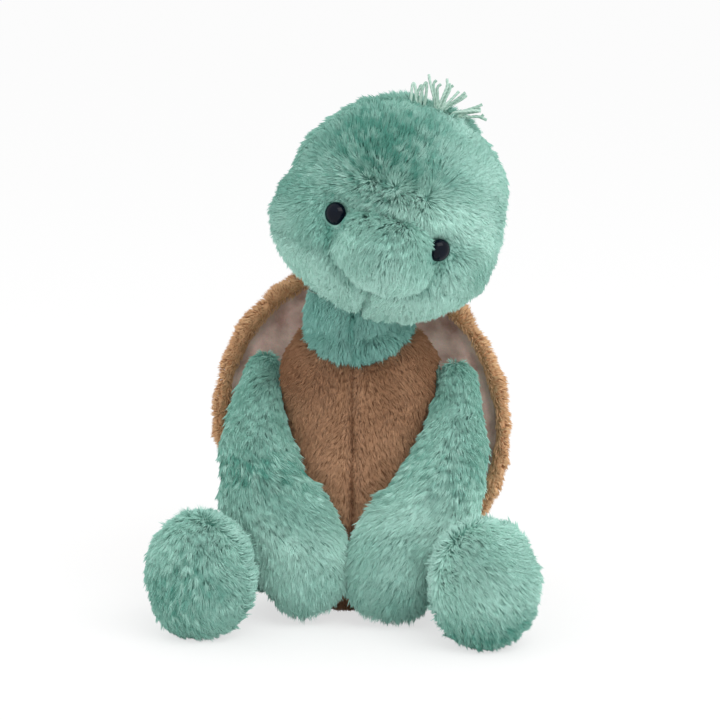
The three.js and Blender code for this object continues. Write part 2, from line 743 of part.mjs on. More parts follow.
// Legs run level from the hip to the foot, which ends in a domed sole
function makeLeg(side, word) {
  const splay = THREE.MathUtils.degToRad(legSplay);
  const ahead = new THREE.Vector3(side * Math.sin(splay), -Math.cos(splay), 0);
  const across = new THREE.Vector3(Math.cos(splay), side * Math.sin(splay), 0);
  const rise = footHeight - hipHeight;
  const ankle = legLength - footHalfLength;
  const form = (inset) => {
    const rings = [];
    const ring = (along, halfAcross, halfUp, height) => rings.push(section(
      ahead.clone().multiplyScalar(along).addScaledVector(up, height),
      across, up, halfAcross - inset, halfUp - inset, legFacets,
    ));
    for (const [alongShare, widthShare, heightShare, riseShare] of legSectionShares) {
      ring(alongShare * ankle, widthShare * legHalfWidth, heightShare * legHalfWidth, riseShare * rise);
    }
    for (let i = 1; i <= footRings; i += 1) {
      const progress = i / footRings;
      const angle = Math.PI * (footStartShare + footSweepShare * progress);
      const along = legLength - (footHalfLength - inset * progress) * Math.cos(angle);
      const swell = Math.sin(angle) ** footFullness;
      const drawn = inset * (1 - swell);
      ring(along, swell * footHalfWidth + drawn, swell * footHalfHeight + drawn, rise);
    }
    return solid(loft(rings)).add(ball(hipRadius - inset, origin))
      .intersect(beyond(new THREE.Vector3(0, 0, inset - hipHeight), up));
  };
  const skin = form(0).subtract(form(pileThickness));
  const solePoint = ahead.clone().multiplyScalar(legLength + soleSeamForward);
  const [rest, sole] = seamed(skin, solePoint, ahead);
  const [under, top] = seamed(rest, origin, up);
  const group = new THREE.Group();
  group.position.copy(hipPivot(side));
  group.add(
    piece(`leg_${word}_top_panel`, top, greenPile),
    piece(`leg_${word}_under_panel`, under, greenPile),
    piece(`leg_${word}_sole`, sole, greenPile),
    piece(`leg_${word}_filling`, form(pileThickness + fillingGap), fibre),
    seamThread(
      `leg_${word}_seam_thread`, hipRadius,
      new THREE.Vector3(-side * hipSpread, hipForward, 0), hipThreadShare * hipRadius,
    ),
  );
  return group;
}

const turtle = new THREE.Group();
turtle.add(
  ...makeBody(),
  ...makeShell(),
  makeNeck(),
  makeHead(),
);
for (const [side, word] of [[-1, 'left'], [1, 'right']]) {
  turtle.add(makeArm(side, word), makeLeg(side, word));
}
turtle.updateMatrixWorld(true);
export default turtle;
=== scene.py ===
import math

import bpy
import numpy as np
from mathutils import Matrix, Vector
from mathutils.kdtree import KDTree


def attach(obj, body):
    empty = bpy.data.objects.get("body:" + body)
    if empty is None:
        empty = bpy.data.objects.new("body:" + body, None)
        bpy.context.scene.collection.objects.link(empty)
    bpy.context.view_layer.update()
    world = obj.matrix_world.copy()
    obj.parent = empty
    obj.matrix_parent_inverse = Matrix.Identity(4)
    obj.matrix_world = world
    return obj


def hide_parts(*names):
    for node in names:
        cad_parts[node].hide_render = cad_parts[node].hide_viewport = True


# The plush turtle sits on the floor, its face and feet towards -Y. Lengths are in millimetres and
# are turned to metres where a mesh is made. Each stuffed form is a skin of sewn panels over its
# own filling. A panel is two pieces: its knitted backing cloth, and the pile that stands on it.
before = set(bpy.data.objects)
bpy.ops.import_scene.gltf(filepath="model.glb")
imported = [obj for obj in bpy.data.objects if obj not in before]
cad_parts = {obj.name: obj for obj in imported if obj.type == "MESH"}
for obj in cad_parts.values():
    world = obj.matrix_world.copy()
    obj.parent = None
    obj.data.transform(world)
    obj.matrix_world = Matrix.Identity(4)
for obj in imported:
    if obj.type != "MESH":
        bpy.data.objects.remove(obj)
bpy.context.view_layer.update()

# The body: a tapering stuffed sack of six panels, green bib and brown belly in front and green
# behind, each pair sewn down the middle. It is turned through its seat, packed with fibre over a
# bag of pellets, and its flattened seat rests on the floor.
body_height, body_half_width, body_half_depth, body_lean = 155.0, 54.0, 46.0, 10.0
# height in millimetres, then shares of the half width, of the half depth and of the lean
body_rows = np.array([
    [0.0, 0.00, 0.00, 0.20], [0.0, 0.36, 0.36, 0.20], [0.4, 0.70, 0.70, 0.20],
    [3.4, 0.85, 0.84, 0.20], [14.0, 0.97, 0.96, 0.20], [31.0, 1.00, 1.01, 0.20],
    [62.0, 0.96, 1.01, 0.14], [96.0, 0.80, 0.95, 0.20], [125.6, 0.85, 0.80, 0.62],
    [141.0, 0.76, 0.69, 0.84], [154.0, 0.55, 0.61, 1.00], [157.0, 0.30, 0.34, 1.00],
    [158.0, 0.00, 0.00, 1.00],
])
bib_half_width, bib_top, bib_drop = 34.0, 171.0, 31.0
side_seam_back = 2.0             # how far behind the seat's centre the side seams lie
seam_groove, seam_groove_width, body_swell, body_off_floor = 2.6, 2.2, 0.5, 0.7
bag_top, bag_gap = 23.6, 0.8     # of the pellet bag, and between it and the fibre over it
backing_inset = 1.2              # the cloth's face, inside the solid that packs cloth and pile
stuffing_inset = 6.2
shoulder_pivots = {"left": np.array([-56.3, -9.0, 128.5]), "right": np.array([56.3, -9.0, 126.5])}
hip_pivots = {"left": np.array([-51.0, -25.0, 24.0]), "right": np.array([51.0, -25.0, 24.0])}
shoulder_seat, hip_seat = 16.4, 17.4
body_pile, bib_pile, bib_fringe = 5.0, 7.5, 5.2
belly_density, hidden_density, back_density = 3.2, 0.7, 0.4


def smooth(table, at):
    """Values of a table between its rows, at fractional row numbers: a cubic through the rows
    whose slope at each is half the step from the row before to the row after."""
    table = np.asarray(table, dtype=float)
    slope = np.gradient(table, axis=0)
    k = np.clip(np.floor(at).astype(int), 0, len(table) - 2)
    t = (np.asarray(at) - k).reshape(-1, *[1] * (table.ndim - 1))
    return ((1 + 2 * t) * (1 - t) ** 2 * table[k] + t * (1 - t) ** 2 * slope[k]
            + t * t * (3 - 2 * t) * table[k + 1] + t * t * (t - 1) * slope[k + 1])


def even(table, count, reach):
    """Fractional row numbers that cut a table's outline into equal lengths, where reach gives the
    outline's points."""
    fine = np.linspace(0, len(table) - 1, 600)
    step = np.linalg.norm(np.diff(reach(smooth(table, fine)), axis=0), axis=1)
    travel = np.concatenate([[0], np.cumsum(step)])
    return np.interp(np.linspace(0, travel[-1], count), travel, fine)


def full_turn(count):
    """Equally spaced angles of one turn."""
    return 2 * np.pi * np.arange(count) / count


def skin_faces(rings, spokes):
    """Triangles of a surface whose points are rings one after another, with a fan to the single
    point that follows them for the first ring and to the one after that for the last."""
    i, j = np.meshgrid(np.arange(rings - 1), np.arange(spokes), indexing="ij")
    k = (j + 1) % spokes
    here, above = i * spokes, (i + 1) * spokes
    quads = np.stack([here + j, here + k, above + k, above + j], -1).reshape(-1, 4)
    j = np.arange(spokes)
    k, last, end = (j + 1) % spokes, (rings - 1) * spokes, rings * spokes
    first_fan = np.stack([np.full(spokes, end), k, j], 1)
    last_fan = np.stack([last + j, last + k, np.full(spokes, end + 1)], 1)
    return np.vstack([quads[:, [0, 1, 2]], quads[:, [0, 2, 3]], first_fan, last_fan])


def outward(points, tris):
    """The same triangles turned so that the volume they close is positive."""
    a, b, c = points[tris[:, 0]], points[tris[:, 1]], points[tris[:, 2]]
    return tris if np.einsum("nk,nk->", a, np.cross(b, c)) > 0 else tris[:, ::-1]


def unit(ways, least=1e-9):
    """Directions scaled to length 1, or to less where they are shorter than the least length."""
    return ways / np.maximum(np.linalg.norm(ways, axis=-1, keepdims=True), least)


def square_to(ways, axes):
    """What is left of each direction when its share along a unit axis is taken away."""
    return ways - (ways * axes).sum(1, keepdims=True) * axes


def point_normals(points, tris):
    """Unit normals at the points: the summed area normals of the triangles around each."""
    a, b, c = points[tris[:, 0]], points[tris[:, 1]], points[tris[:, 2]]
    face = np.cross(b - a, c - a)
    out = np.zeros_like(points)
    for k in range(3):
        for axis in range(3):
            out[:, axis] += np.bincount(tris[:, k], weights=face[:, axis], minlength=len(points))
    return unit(out)


def wander(points, size, seed):
    """A smooth noise, mostly between -1 and 1: a sum of eight sine waves of this length, each in
    its own direction."""
    rng = np.random.default_rng(seed)
    ways = rng.normal(size=(8, 3))
    ways *= 2 * np.pi / (size * np.linalg.norm(ways, axis=1, keepdims=True))
    return np.sin(points @ ways.T + rng.uniform(0, 2 * np.pi, 8)).sum(axis=1) / 2.8


def bell(off, width):
    """1 where a distance is nothing, and next to nothing at twice the width: e to the minus
    square of their ratio."""
    return np.exp(-(off / width) ** 2)


def held(share):
    """A share held between 0 and 1."""
    return np.clip(share, 0, 1)


def away(points, place):
    """Distances of points from a place."""
    return np.linalg.norm(points - np.asarray(place), axis=1)


def pressed(points, place, radius):
    """Points inside a ball moved straight out to its surface, as where a limb's end sits in."""
    off = points - place
    far = np.maximum(np.linalg.norm(off, axis=1, keepdims=True), 1e-6)
    return place + off * np.maximum(far, radius) / far


def body_surface(inset, rings=116, spokes=132):
    """The sack: rounded rectangles, a power of 2.2, whose half sizes, height and middle follow the
    rows, each drawn in by the inset, and hollowed by balls at the shoulders and hips."""
    def outline(rows):
        """Half width and height, along which the rings are spaced."""
        return np.stack([rows[:, 1] * body_half_width, rows[:, 0]], axis=1)
    rows = smooth(body_rows, even(body_rows, rings + 2, outline)[1:-1])
    high = np.clip(rows[:, 0], 0, None)
    high = inset + high * (body_height - inset) / body_height
    around, power = full_turn(spokes), 2 / 2.2
    u = np.sign(np.cos(around)) * np.abs(np.cos(around)) ** power
    v = np.sign(np.sin(around)) * np.abs(np.sin(around)) ** power
    half = np.maximum(rows[:, 1] * body_half_width - inset * np.minimum(1, rows[:, 1] * 4), 0.3)
    deep = np.maximum(rows[:, 2] * body_half_depth - inset * np.minimum(1, rows[:, 2] * 4), 0.3)
    middle = -rows[:, 3] * body_lean
    across, forth = half[:, None] * u, middle[:, None] + deep[:, None] * v
    p = np.stack(np.broadcast_arrays(across, forth, high[:, None]), -1).reshape(-1, 3)
    p = np.vstack([p, [[0, middle[0], high[0]]], [[0, middle[-1], high[-1]]]])
    for side in ("left", "right"):
        p = pressed(p, shoulder_pivots[side], shoulder_seat + inset)
        p = pressed(p, hip_pivots[side], hip_seat + inset)
    return p, outward(p, skin_faces(rings, spokes))


def linear(code):
    """A colour written as an sRGB hex code, as linear red, green and blue with full alpha."""
    c = np.array([int(code[i:i + 2], 16) for i in (1, 3, 5)]) / 255
    return (*np.where(c <= 0.04045, c / 12.92, ((c + 0.055) / 1.055) ** 2.4), 1.0)


def add(tree, kind, settings=None, inputs=None, stops=()):
    """Adds a node to a tree with its settings and input values, where an input that is a socket
    is linked, and on a colour ramp its places and colours."""
    made = tree.nodes.new(kind)
    for name, value in (settings or {}).items():
        setattr(made, name, value)
    for key, value in (inputs or {}).items():
        if isinstance(value, bpy.types.NodeSocket):
            tree.links.new(value, made.inputs[key])
        else:
            made.inputs[key].default_value = value
    for number, (place, code) in enumerate(stops):
        made.color_ramp.elements[number].position = place
        made.color_ramp.elements[number].color = linear(code)
    return made


def finish(name, roughness, specular=0.3, sheen=0.0):
    """A new material and its shader, with the constants of its finish on the shader's sockets."""
    material = bpy.data.materials.new(name)
    material.use_nodes = True
    shader = material.node_tree.nodes["Principled BSDF"]
    shader.inputs["Roughness"].default_value = roughness
    shader.inputs["Specular IOR Level"].default_value = specular
    shader.inputs["Sheen Weight"].default_value = sheen
    shader.inputs["Sheen Roughness"].default_value = 0.4
    return material, material.node_tree, shader


def patterned(name, finish_values, kind, size, dark, pale, settings=None, inputs=None,
              value="Fac", relief=None):
    """A material whose colour follows a texture on the piece, this many millimetres from one spot
    to the next. Relief, where given, is the strength of its bumps, a millimetre high at most, and
    whether they are turned over."""
    material, tree, shader = finish(name, *finish_values)
    place = add(tree, "ShaderNodeTexCoord")
    spots = add(tree, kind, settings, {
        "Vector": place.outputs["Object"], "Scale": 1000 / size, **(inputs or {})}).outputs[value]
    tint = add(tree, "ShaderNodeValToRGB", inputs={"Fac": spots}, stops=((0, dark), (1, pale)))
    tree.links.new(tint.outputs["Color"], shader.inputs["Base Color"])
    if relief:
        bumps = add(tree, "ShaderNodeBump", {"invert": relief[1]}, {
            "Height": spots, "Strength": relief[0], "Distance": 0.001})
        tree.links.new(bumps.outputs["Normal"], shader.inputs["Normal"])
    return material


def pile_fabric(name, deep, laid, lit):
    """Knitted polyester pile: soft matt fibres with a faint velvet edge, darkened by painted shade
    towards their roots and lightened by painted light at their tips. Across the map is the painted
    light and shade of a lock, which its roots follow too, and up the map is root to tip."""
    material, tree, shader = finish(name, 0.9, 0.12, 0.12)
    place = add(tree, "ShaderNodeUVMap", {"uv_map": "OFBake"})
    parts = add(tree, "ShaderNodeSeparateXYZ", inputs={"Vector": place.outputs["UV"]})
    # painted light and shade of the tips: laid in painted shade, lit in painted light
    shade = add(tree, "ShaderNodeValToRGB", inputs={"Fac": parts.outputs["X"]},
                stops=((0.05, laid), (0.95, lit)))
    climb = add(tree, "ShaderNodeMapRange", inputs={
        "Value": parts.outputs["Y"], "From Min": 0.0, "From Max": 0.7})
    # painted shade at the roots, darkest where the lock's painted shade is darkest
    root = add(tree, "ShaderNodeMix", {"data_type": "RGBA"}, {
        "Factor": parts.outputs["X"], "A": linear(deep), "B": linear(laid)})
    mix = add(tree, "ShaderNodeMix", {"data_type": "RGBA"}, {
        "Factor": climb.outputs["Result"], "A": root.outputs["Result"], "B": shade.outputs["Color"]})
    tree.links.new(mix.outputs["Result"], shader.inputs["Base Color"])
    return material


def make_mesh(name, points, faces, material, uv=None, soft=True):
    """A mesh object in metres from points in millimetres and an array of triangles or of quads,
    and where given one map coordinate for each point. Soft ones are shaded smooth."""
    mesh = bpy.data.meshes.new(name)
    loops = faces.ravel()
    mesh.vertices.add(len(points))
    mesh.vertices.foreach_set("co", (points * 0.001).astype(np.float32).ravel())
    mesh.loops.add(len(loops))
    mesh.loops.foreach_set("vertex_index", loops.astype(np.int32))
    mesh.polygons.add(len(faces))
    mesh.polygons.foreach_set("loop_start", np.arange(0, len(loops), faces.shape[1], dtype=np.int32))
    if uv is not None:
        layer = mesh.uv_layers.new(name="OFBake")
        layer.data.foreach_set("uv", uv[loops].astype(np.float32).ravel())
    mesh.update(calc_edges=True)
    mesh.validate()
    if soft:
        mesh.shade_smooth()
    else:
        mesh.shade_flat()
    mesh.materials.append(material)
    made = bpy.data.objects.new(name, mesh)
    bpy.context.collection.objects.link(made)
    return made


def place_piece(made, node, body):
    """Puts a piece on the body it rides on, and hides the node it replaces."""
    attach(made, body)
    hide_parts(node)


def nearest(places, points):
    """For each point, the number of the nearest of some places."""
    tree = KDTree(len(places))
    for k, place in enumerate(places):
        tree.insert(place, k)
    tree.balance()
    return np.fromiter((tree.find(q)[1] for q in points), dtype=np.int64, count=len(points))


# a strand: its share below the bend, and how deep its root, how short and how low it may be
bend_share, root_sink, shortest_strand, strand_off_floor = 0.42, 0.5, 0.6, 0.15
# a lock: how many strands, how far it gathers them, and the bends' share of that
strands_to_a_lock, lock_reach, bend_gather = 5, 2.4, 0.4
# waves of the nap: how far each turns it, in radians, and its length in millimetres
broad_turn, broad_wave, close_turn, close_wave, fine_turn, fine_wave = 0.26, 30, 0.14, 12, 0.2, 4.5
# how much the pile rises, in degrees: in waves of two lengths, and each lock and strand by itself
broad_rise, broad_rise_wave, fine_rise, fine_rise_wave, own_rise = 4, 17, 7, 5, 3
strand_turn, lock_stretch, strand_stretch = 0.10, 0.12, 0.1
# a nap shorter than this leans less, down to this share, and all leans keep between two limits
short_nap, parted_share, steepest, flattest = 0.6, 0.6, 5, 86
# the pile's painted light and shade, as a share of the way from dark to pale, and how much it
# varies: in broad patches of painted light, and at random by lock and by strand
middle_shade, shade_wave, shade_drift, lock_shade, strand_shade = 0.52, 26, 0.08, 0.035, 0.04


def pile(name, points, tris, nap, length, density, material, seed, width=0.125, gather=0.25,
         lean=(54, 80), stray=0.13, unrest=1.0, upright=None, shade=None):
    """Strands of pile on a cloth given by its points and triangles. Roots are spread evenly by
    area. A strand is a thin solid of four faces, widest at its bend: it rises at the first lean
    from the normal, then lies over at the second, along the nap. Roots near one seed are a lock,
    whose strands share a turn and a shade and draw their tips together. Unrest is how much the
    pile stands and turns in small waves. Upright, where given, is degrees taken off both leans.
    Where the nap is short, as at a parting, it stands up."""
    rng = np.random.default_rng(seed)
    a, b, c = (points[tris[:, k]] for k in range(3))
    area = np.linalg.norm(np.cross(b - a, c - a), axis=1) / 2
    weight = area * density((a + b + c) / 3)
    count = int(weight.sum())
    face = rng.choice(len(tris), count, p=weight / weight.sum())
    s, t = rng.random(count), rng.random(count)
    flip = s + t > 1
    s[flip], t[flip] = 1 - s[flip], 1 - t[flip]
    corner = np.stack([1 - s - t, s, t], axis=1)
    normals = point_normals(points, tris)
    root = np.einsum("nk,nkd->nd", corner, points[tris[face]])
    normal = unit(np.einsum("nk,nkd->nd", corner, normals[tris[face]]))
    long = length(root)
    keep = long > shortest_strand
    root, normal, long = root[keep], normal[keep], long[keep]
    count = len(root)
    along = square_to(nap(root), normal)
    swept = np.linalg.norm(along, axis=1)
    along = unit(along, 1e-6)
    across = np.cross(normal, along)
    seeds = rng.choice(count, max(1, count // strands_to_a_lock), replace=False)
    own = nearest(root[seeds], root)
    turned_by, raised_by, lengthened_by, shaded_by = rng.normal(size=(len(seeds), 4))[own].T
    turn = (broad_turn * wander(root, broad_wave, seed + 2) + close_turn * wander(root, close_wave, seed + 3)
            + fine_turn * unrest * wander(root, fine_wave, seed + 6)
            + stray * turned_by + strand_turn * rng.normal(size=count))
    along = np.cos(turn)[:, None] * along + np.sin(turn)[:, None] * across
    across = np.cross(normal, along)
    rise = (own_rise * raised_by + own_rise * rng.normal(size=count)
            + broad_rise * wander(root, broad_rise_wave, seed + 4)
            + fine_rise * unrest * wander(root, fine_rise_wave, seed + 7))
    if upright is not None:
        rise -= upright(root)
    stretch = 1 + lock_stretch * lengthened_by + strand_stretch * rng.normal(size=count)
    long = long * np.clip(stretch, 0.5, 1.4)
    laid_share, ways = np.clip(swept / short_nap, parted_share, 1), []
    for degrees in lean:
        angle = np.radians(np.clip((degrees + rise) * laid_share, steepest, flattest))[:, None]
        ways.append(np.cos(angle) * normal + np.sin(angle) * along)
    bend = root + ways[0] * (bend_share * long)[:, None]
    tip = bend + ways[1] * ((1 - bend_share) * long)[:, None]
    head = seeds[own]
    close = held(1.5 - away(root, root[head]) / lock_reach)[:, None]
    bend += bend_gather * gather * close * (bend[head] - bend)
    tip += gather * close * (tip[head] - tip)
    root = root - root_sink * normal
    thick = (width * rng.uniform(0.8, 1.25, count))[:, None] * across
    strand = np.stack([root, bend + thick, bend - thick, tip], axis=1)
    strand[:, :, 2] = np.maximum(strand[:, :, 2], strand_off_floor)
    base = 4 * np.arange(count)[:, None]
    faces = np.vstack([base + f for f in ([0, 1, 2], [1, 3, 2], [0, 3, 1], [0, 2, 3])])
    # each strand's level: broad patches of painted light, its lock's and its own tone, and then the piece's
    # own painted light and shade where given
    level = (middle_shade + shade_drift * wander(root, shade_wave, seed + 5) + lock_shade * shaded_by
             + strand_shade * rng.normal(size=count))
    if shade is not None:
        level += shade(root)
    uv = np.zeros((count, 4, 2))
    uv[:, :, 0] = np.clip(level, 0.03, 0.97)[:, None] + np.array([0, 0.012, -0.012, 0])
    # up the map, from the root's painted shade to the tip
    uv[:, :, 1] = [0.02, 0.5, 0.5, 0.98]
    return make_mesh(name, strand.reshape(-1, 3), faces, material, uv.reshape(-1, 2), soft=False)


def cloth(name, points, tris, material, thickness=1.4):
    """A panel's knitted backing, a wall of its own thickness. It shows only as the ground between
    locks, so its map keeps near the roots' painted shade, varied by a smooth noise."""
    used, faces = np.unique(tris, return_inverse=True)
    p = points[used]
    shade, climb = 0.4 + 0.2 * wander(p, 9, 3), 0.42 + 0.12 * wander(p, 3.5, 4)
    uv = np.stack([np.clip(shade, 0.05, 0.95), climb], axis=1)
    made = make_mesh(name, p, faces.reshape(tris.shape), material, uv)
    wall = made.modifiers.new("Backing", "SOLIDIFY")
    wall.thickness, wall.offset = thickness * 0.001, -1
    return made


def panel(name, node, slot, body, points, tris, material, nap, length, density, seed, **strands):
    """One sewn panel: its backing cloth and its pile, two stuffed pieces that stand for one node."""
    backing = cloth(name + "_cloth", points, tris, material)
    standing = pile(name + "_pile", points, tris, nap, length, density, material, seed, **strands)
    for made in (backing, standing):
        place_piece(made, node, body)


def stuffing(name, node, body, points, tris, material):
    """A filling, or the pellet bag: one closed smooth form inside its skin."""
    place_piece(make_mesh(name, points, tris, material), node, body)


def lofty_fibre():
    """Siliconised polyester filling: white crimped fibre, matt, with soft cloudy lumps 4 mm apart,
    darker in the hollows between them with painted shade.
    """
    return patterned("lofty polyester fibre", (0.95, 0.2), "ShaderNodeTexNoise", 4, "#d9d6cf", "#f7f6f2",
                     inputs={"Detail": 4}, relief=(0.6, False))


def pellet_cloth():
    """A bag of thin woven cloth over plastic pellets 3 mm across, which show through as bumps, with
    painted shade darkening the hollows between them.
    """
    return patterned("thin woven pellet bag", (0.85, 0.2), "ShaderNodeTexVoronoi", 3.03, "#dcd9d0",
                     "#b9b5aa", value="Distance", relief=(0.8, True))


# each pile's colours: its roots in painted shade, then its tips in painted shade and in painted light
green = pile_fabric("green knitted polyester pile", "#245a4e", "#62a696", "#c6ece1")
bib_green = pile_fabric("bib green knitted polyester pile", "#2f665c", "#66a89c", "#b4e3da")
brown = pile_fabric("brown knitted polyester pile", "#50331f", "#966d50", "#caa07e")
fibre = lofty_fibre()


def bib_oval(p):
    """1 on the oval of the bib's edge, less inside it."""
    return np.hypot(p[:, 0] / bib_half_width, (p[:, 2] - bib_top) / bib_drop)


def downward(p):
    """The body's nap: down, and outwards from the middle seam."""
    return np.stack([0.3 * np.tanh(p[:, 0] / 9), 0 * p[:, 1], np.full(len(p), -1.0)], axis=1)


def beside_limbs(p):
    """Millimetres from the nearest ball that a limb sits on."""
    balls = [(place, shoulder_seat) for place in shoulder_pivots.values()]
    balls += [(place, hip_seat) for place in hip_pivots.values()]
    return np.min([away(p, place) - seat for place, seat in balls], axis=0)


def body_seam(p):
    """Millimetres from the nearest of the body's seams: the middle, the sides and the bib's edge."""
    x, y = p[:, 0], p[:, 1]
    bib = np.where(y < side_seam_back, np.abs(bib_oval(p) - 1) * bib_drop, 99)
    return np.min([np.abs(x), np.abs(y - side_seam_back), bib], axis=0)


def body_length(p):
    """Body pile of 5 mm, 7.5 mm on the bib with an uneven fringe at its edge, and shorter in the
    other seams, under the seat and beside limbs."""
    x, y, z = p.T
    on_bib = (y < side_seam_back) & (bib_oval(p) < 1)
    inner = held((1 - bib_oval(p)) / 0.25)
    fringe = bib_fringe + (bib_pile - bib_fringe) * inner + 1.4 * (1 - inner) * wander(p, 6, 80)
    long = np.where(on_bib, fringe, body_pile - 2 * bell(x, 1.5))
    return long * held(0.25 + beside_limbs(p) / 8) * held(0.35 + z / 9)


def body_density(p):
    """Strands for each square millimetre: most in front, where nothing hides the belly."""
    in_sight = np.abs(p[:, 0]) < 14 + 0.2 * p[:, 2]
    front = np.where(in_sight, belly_density, hidden_density)
    return np.where(p[:, 1] < side_seam_back, front, back_density)


def belly_painted_shade(p):
    """Painted shade on the belly: darker at its top, down its sides, along the middle seam and under
    the paws.
    """
    x, z = p[:, 0], p[:, 2]
    sides, under_paws = held(np.abs(x) / 50) ** 2, held((24 - z) / 12)
    return 0.12 - 0.34 * bell(z - 138, 24) - 0.22 * sides - 0.7 * bell(x, 1.8) - 0.5 * under_paws


def bib_painted_shade(p):
    """Painted shade along the middle seam of the bib and the neck, where the pile parts."""
    return -0.32 * bell(p[:, 0], 1.4)


body_points, body_tris = body_surface(backing_inset)
normal = point_normals(body_points, body_tris)
groove = seam_groove * bell(body_seam(body_points), seam_groove_width) * (body_points[:, 2] > 3)
swell = body_swell * wander(body_points, 40, 9)
body_points = body_points + (swell - groove)[:, None] * normal
body_points[:, 2] = np.maximum(body_points[:, 2], body_off_floor)
middle = body_points[body_tris].mean(axis=1)
in_front = middle[:, 1] < side_seam_back
on_bib = in_front & (bib_oval(middle) < 1)
body_parts = (("bib", on_bib, "bib_pile", bib_green, {"shade": bib_painted_shade, "width": 0.132}),
              ("belly", in_front & ~on_bib, "brown_pile", brown,
               {"shade": belly_painted_shade, "width": 0.132, "unrest": 0.4}),
              ("back", ~in_front, "green_pile", green, {"width": 0.2}))
for k, (side, mask) in enumerate((("left", middle[:, 0] < 0), ("right", middle[:, 0] >= 0))):
    for part, where, slot, fabric, strands in body_parts:
        name = f"{part}_{side}"
        panel(name, name + "_panel", slot, "torso", body_points, body_tris[where & mask], fabric,
              downward, body_length, body_density, 10 + 20 * k + len(part), **strands)
for name, node, slot, low, high, material in (
        ("torso_stuffing", "torso_filling", "fibre_filling", bag_top + bag_gap, np.inf, fibre),
        ("seat_bag", "seat_pellet_bag", "pellet_filling", 0, bag_top, pellet_cloth())):
    inner, faces = body_surface(stuffing_inset, 60, 72)
    inner[:, 2] = np.clip(inner[:, 2], low, high)
    stuffing(name, node, "torso", inner, faces, material)

# The shell: a padded oval dish sewn to the back. A tan plush cover wraps over a rolled rim on to
# the front, a pad of fibre lies inside it, and a smooth short-napped taupe lining, gathered into
# soft folds, closes the side that faces the body.
shell_half_width, shell_half_height, shell_wrap = 85.0, 92.0, 30.0
shell_place, shell_roll = np.array([-3.2, 49.7, 95.0]), math.radians(-16)
cover_rows = np.array([      # radius and depth in millimetres, from the back's middle to the lip
    [0.0, 33.0], [25.5, 31.8], [46.0, 27.6], [63.5, 20.8], [75.0, 13.4], [80.6, 7.8],
    [82.4, 2.2], [81.4, -2.4], [79.0, -3.6], [77.2, -1.8], [76.9, 2.4],
])
pad_rows = np.array([        # the same for the pad, from its back's middle round to its front's
    [0.0, 29.8], [24.0, 28.6], [44.0, 24.4], [58.0, 18.6], [67.0, 12.8], [69.5, 9.4],
    [68.5, 6.6], [64.0, 5.6], [46.0, 1.8], [24.0, -1.8], [0.0, -2.8],
])
lining_radius, lining_crown, lining_fill, lining_thickness = 76.5, 5.0, 0.5, 1.8
tuck_radius, tuck_width, tuck_depth, edge_share = 72.5, 2.4, 2.2, 0.995
cover_pile, front_pile_cut, front_edge_share = 4.6, 1.6, 0.945
cover_density, rim_density, rim_starts_share = 0.34, 1.0, 0.9


def dish(radius, deep, around):
    """Points of the dish: a radius and a depth at an angle round its axis, stretched upright,
    rolled about the axis, bent forward by the square of the way across and set behind the body."""
    x = radius * np.sin(around)
    z = radius * np.cos(around) * shell_half_height / shell_half_width
    c, s = math.cos(shell_roll), math.sin(shell_roll)
    x, z = x * c + z * s, z * c - x * s
    deep = deep - shell_wrap * (x / shell_half_width) ** 2
    return np.stack([x, deep, z], axis=-1).reshape(-1, 3) + shell_place


def dish_surface(rows, rings, spokes, ripple=None):
    """A turned surface through rows of radius and depth in millimetres, as dish points and faces,
    open at its last row. Ripple, where given, adds to the depth by radius and angle."""
    rows = smooth(rows, even(rows, rings, lambda r: r))
    around = full_turn(spokes)
    radius = np.broadcast_to(rows[1:, 0][:, None], (rings - 1, spokes))
    deep = rows[1:, 1][:, None] + (ripple(radius, around) if ripple else 0 * radius)
    p = np.vstack([dish(radius, deep, around), dish(np.zeros(1), rows[:1, 1], np.zeros(1))])
    return p, skin_faces(rings - 1, spokes)[:-spokes]


def rim_share(p):
    """How far out on the dish a point lies, 1 at the rim, with the dish's roll undone."""
    q = p - shell_place
    x, z = q[:, 0], q[:, 2]
    c, s = math.cos(shell_roll), math.sin(shell_roll)
    return np.hypot((x * c - z * s) / shell_half_width, (z * c + x * s) / shell_half_height)


def shell_depth(p):
    """How far behind the plane of the rim a point lies, with the dish unbent."""
    q = p - shell_place
    return q[:, 1] + shell_wrap * (q[:, 0] / shell_half_width) ** 2


def shell_nap(p):
    """The cover's nap: outwards and down over the back, and straight outwards at the rim."""
    out = unit((p - shell_place) * [1, 0, 1], 1)
    rim = held((rim_share(p) - 0.86) / 0.1)[:, None]
    return out * (0.35 + 0.65 * rim) + np.array([0, 0, -1.0]) * (1 - 0.8 * rim)


def shell_ground(p):
    """Wadding shows through the cover as soft quilted swells, and the rim is gathered."""
    q = p - shell_place
    turn = np.arctan2(q[:, 0], q[:, 2])
    gathers = np.sin(26 * turn + 1.3 * np.sin(3 * turn))
    return 0.7 * wander(p, 46, 31) + 0.5 * held((rim_share(p) - 0.85) / 0.12) * gathers


def cover_length(p):
    """The cover's pile, cut shorter on the front inside the lip."""
    inside = held((front_edge_share - rim_share(p)) / 0.03) * (shell_depth(p) < 3)
    return cover_pile - front_pile_cut * inside


def cover_amount(p):
    """Strands for each square millimetre, most on the rim, which the front shows."""
    return cover_density + rim_density * (rim_share(p) > rim_starts_share)


def cover_painted_light(p):
    """Painted light: the cover is a little paler to the right, towards the lamp."""
    return 0.12 * np.clip(p[:, 0] / 80, -1, 1) + 0.05


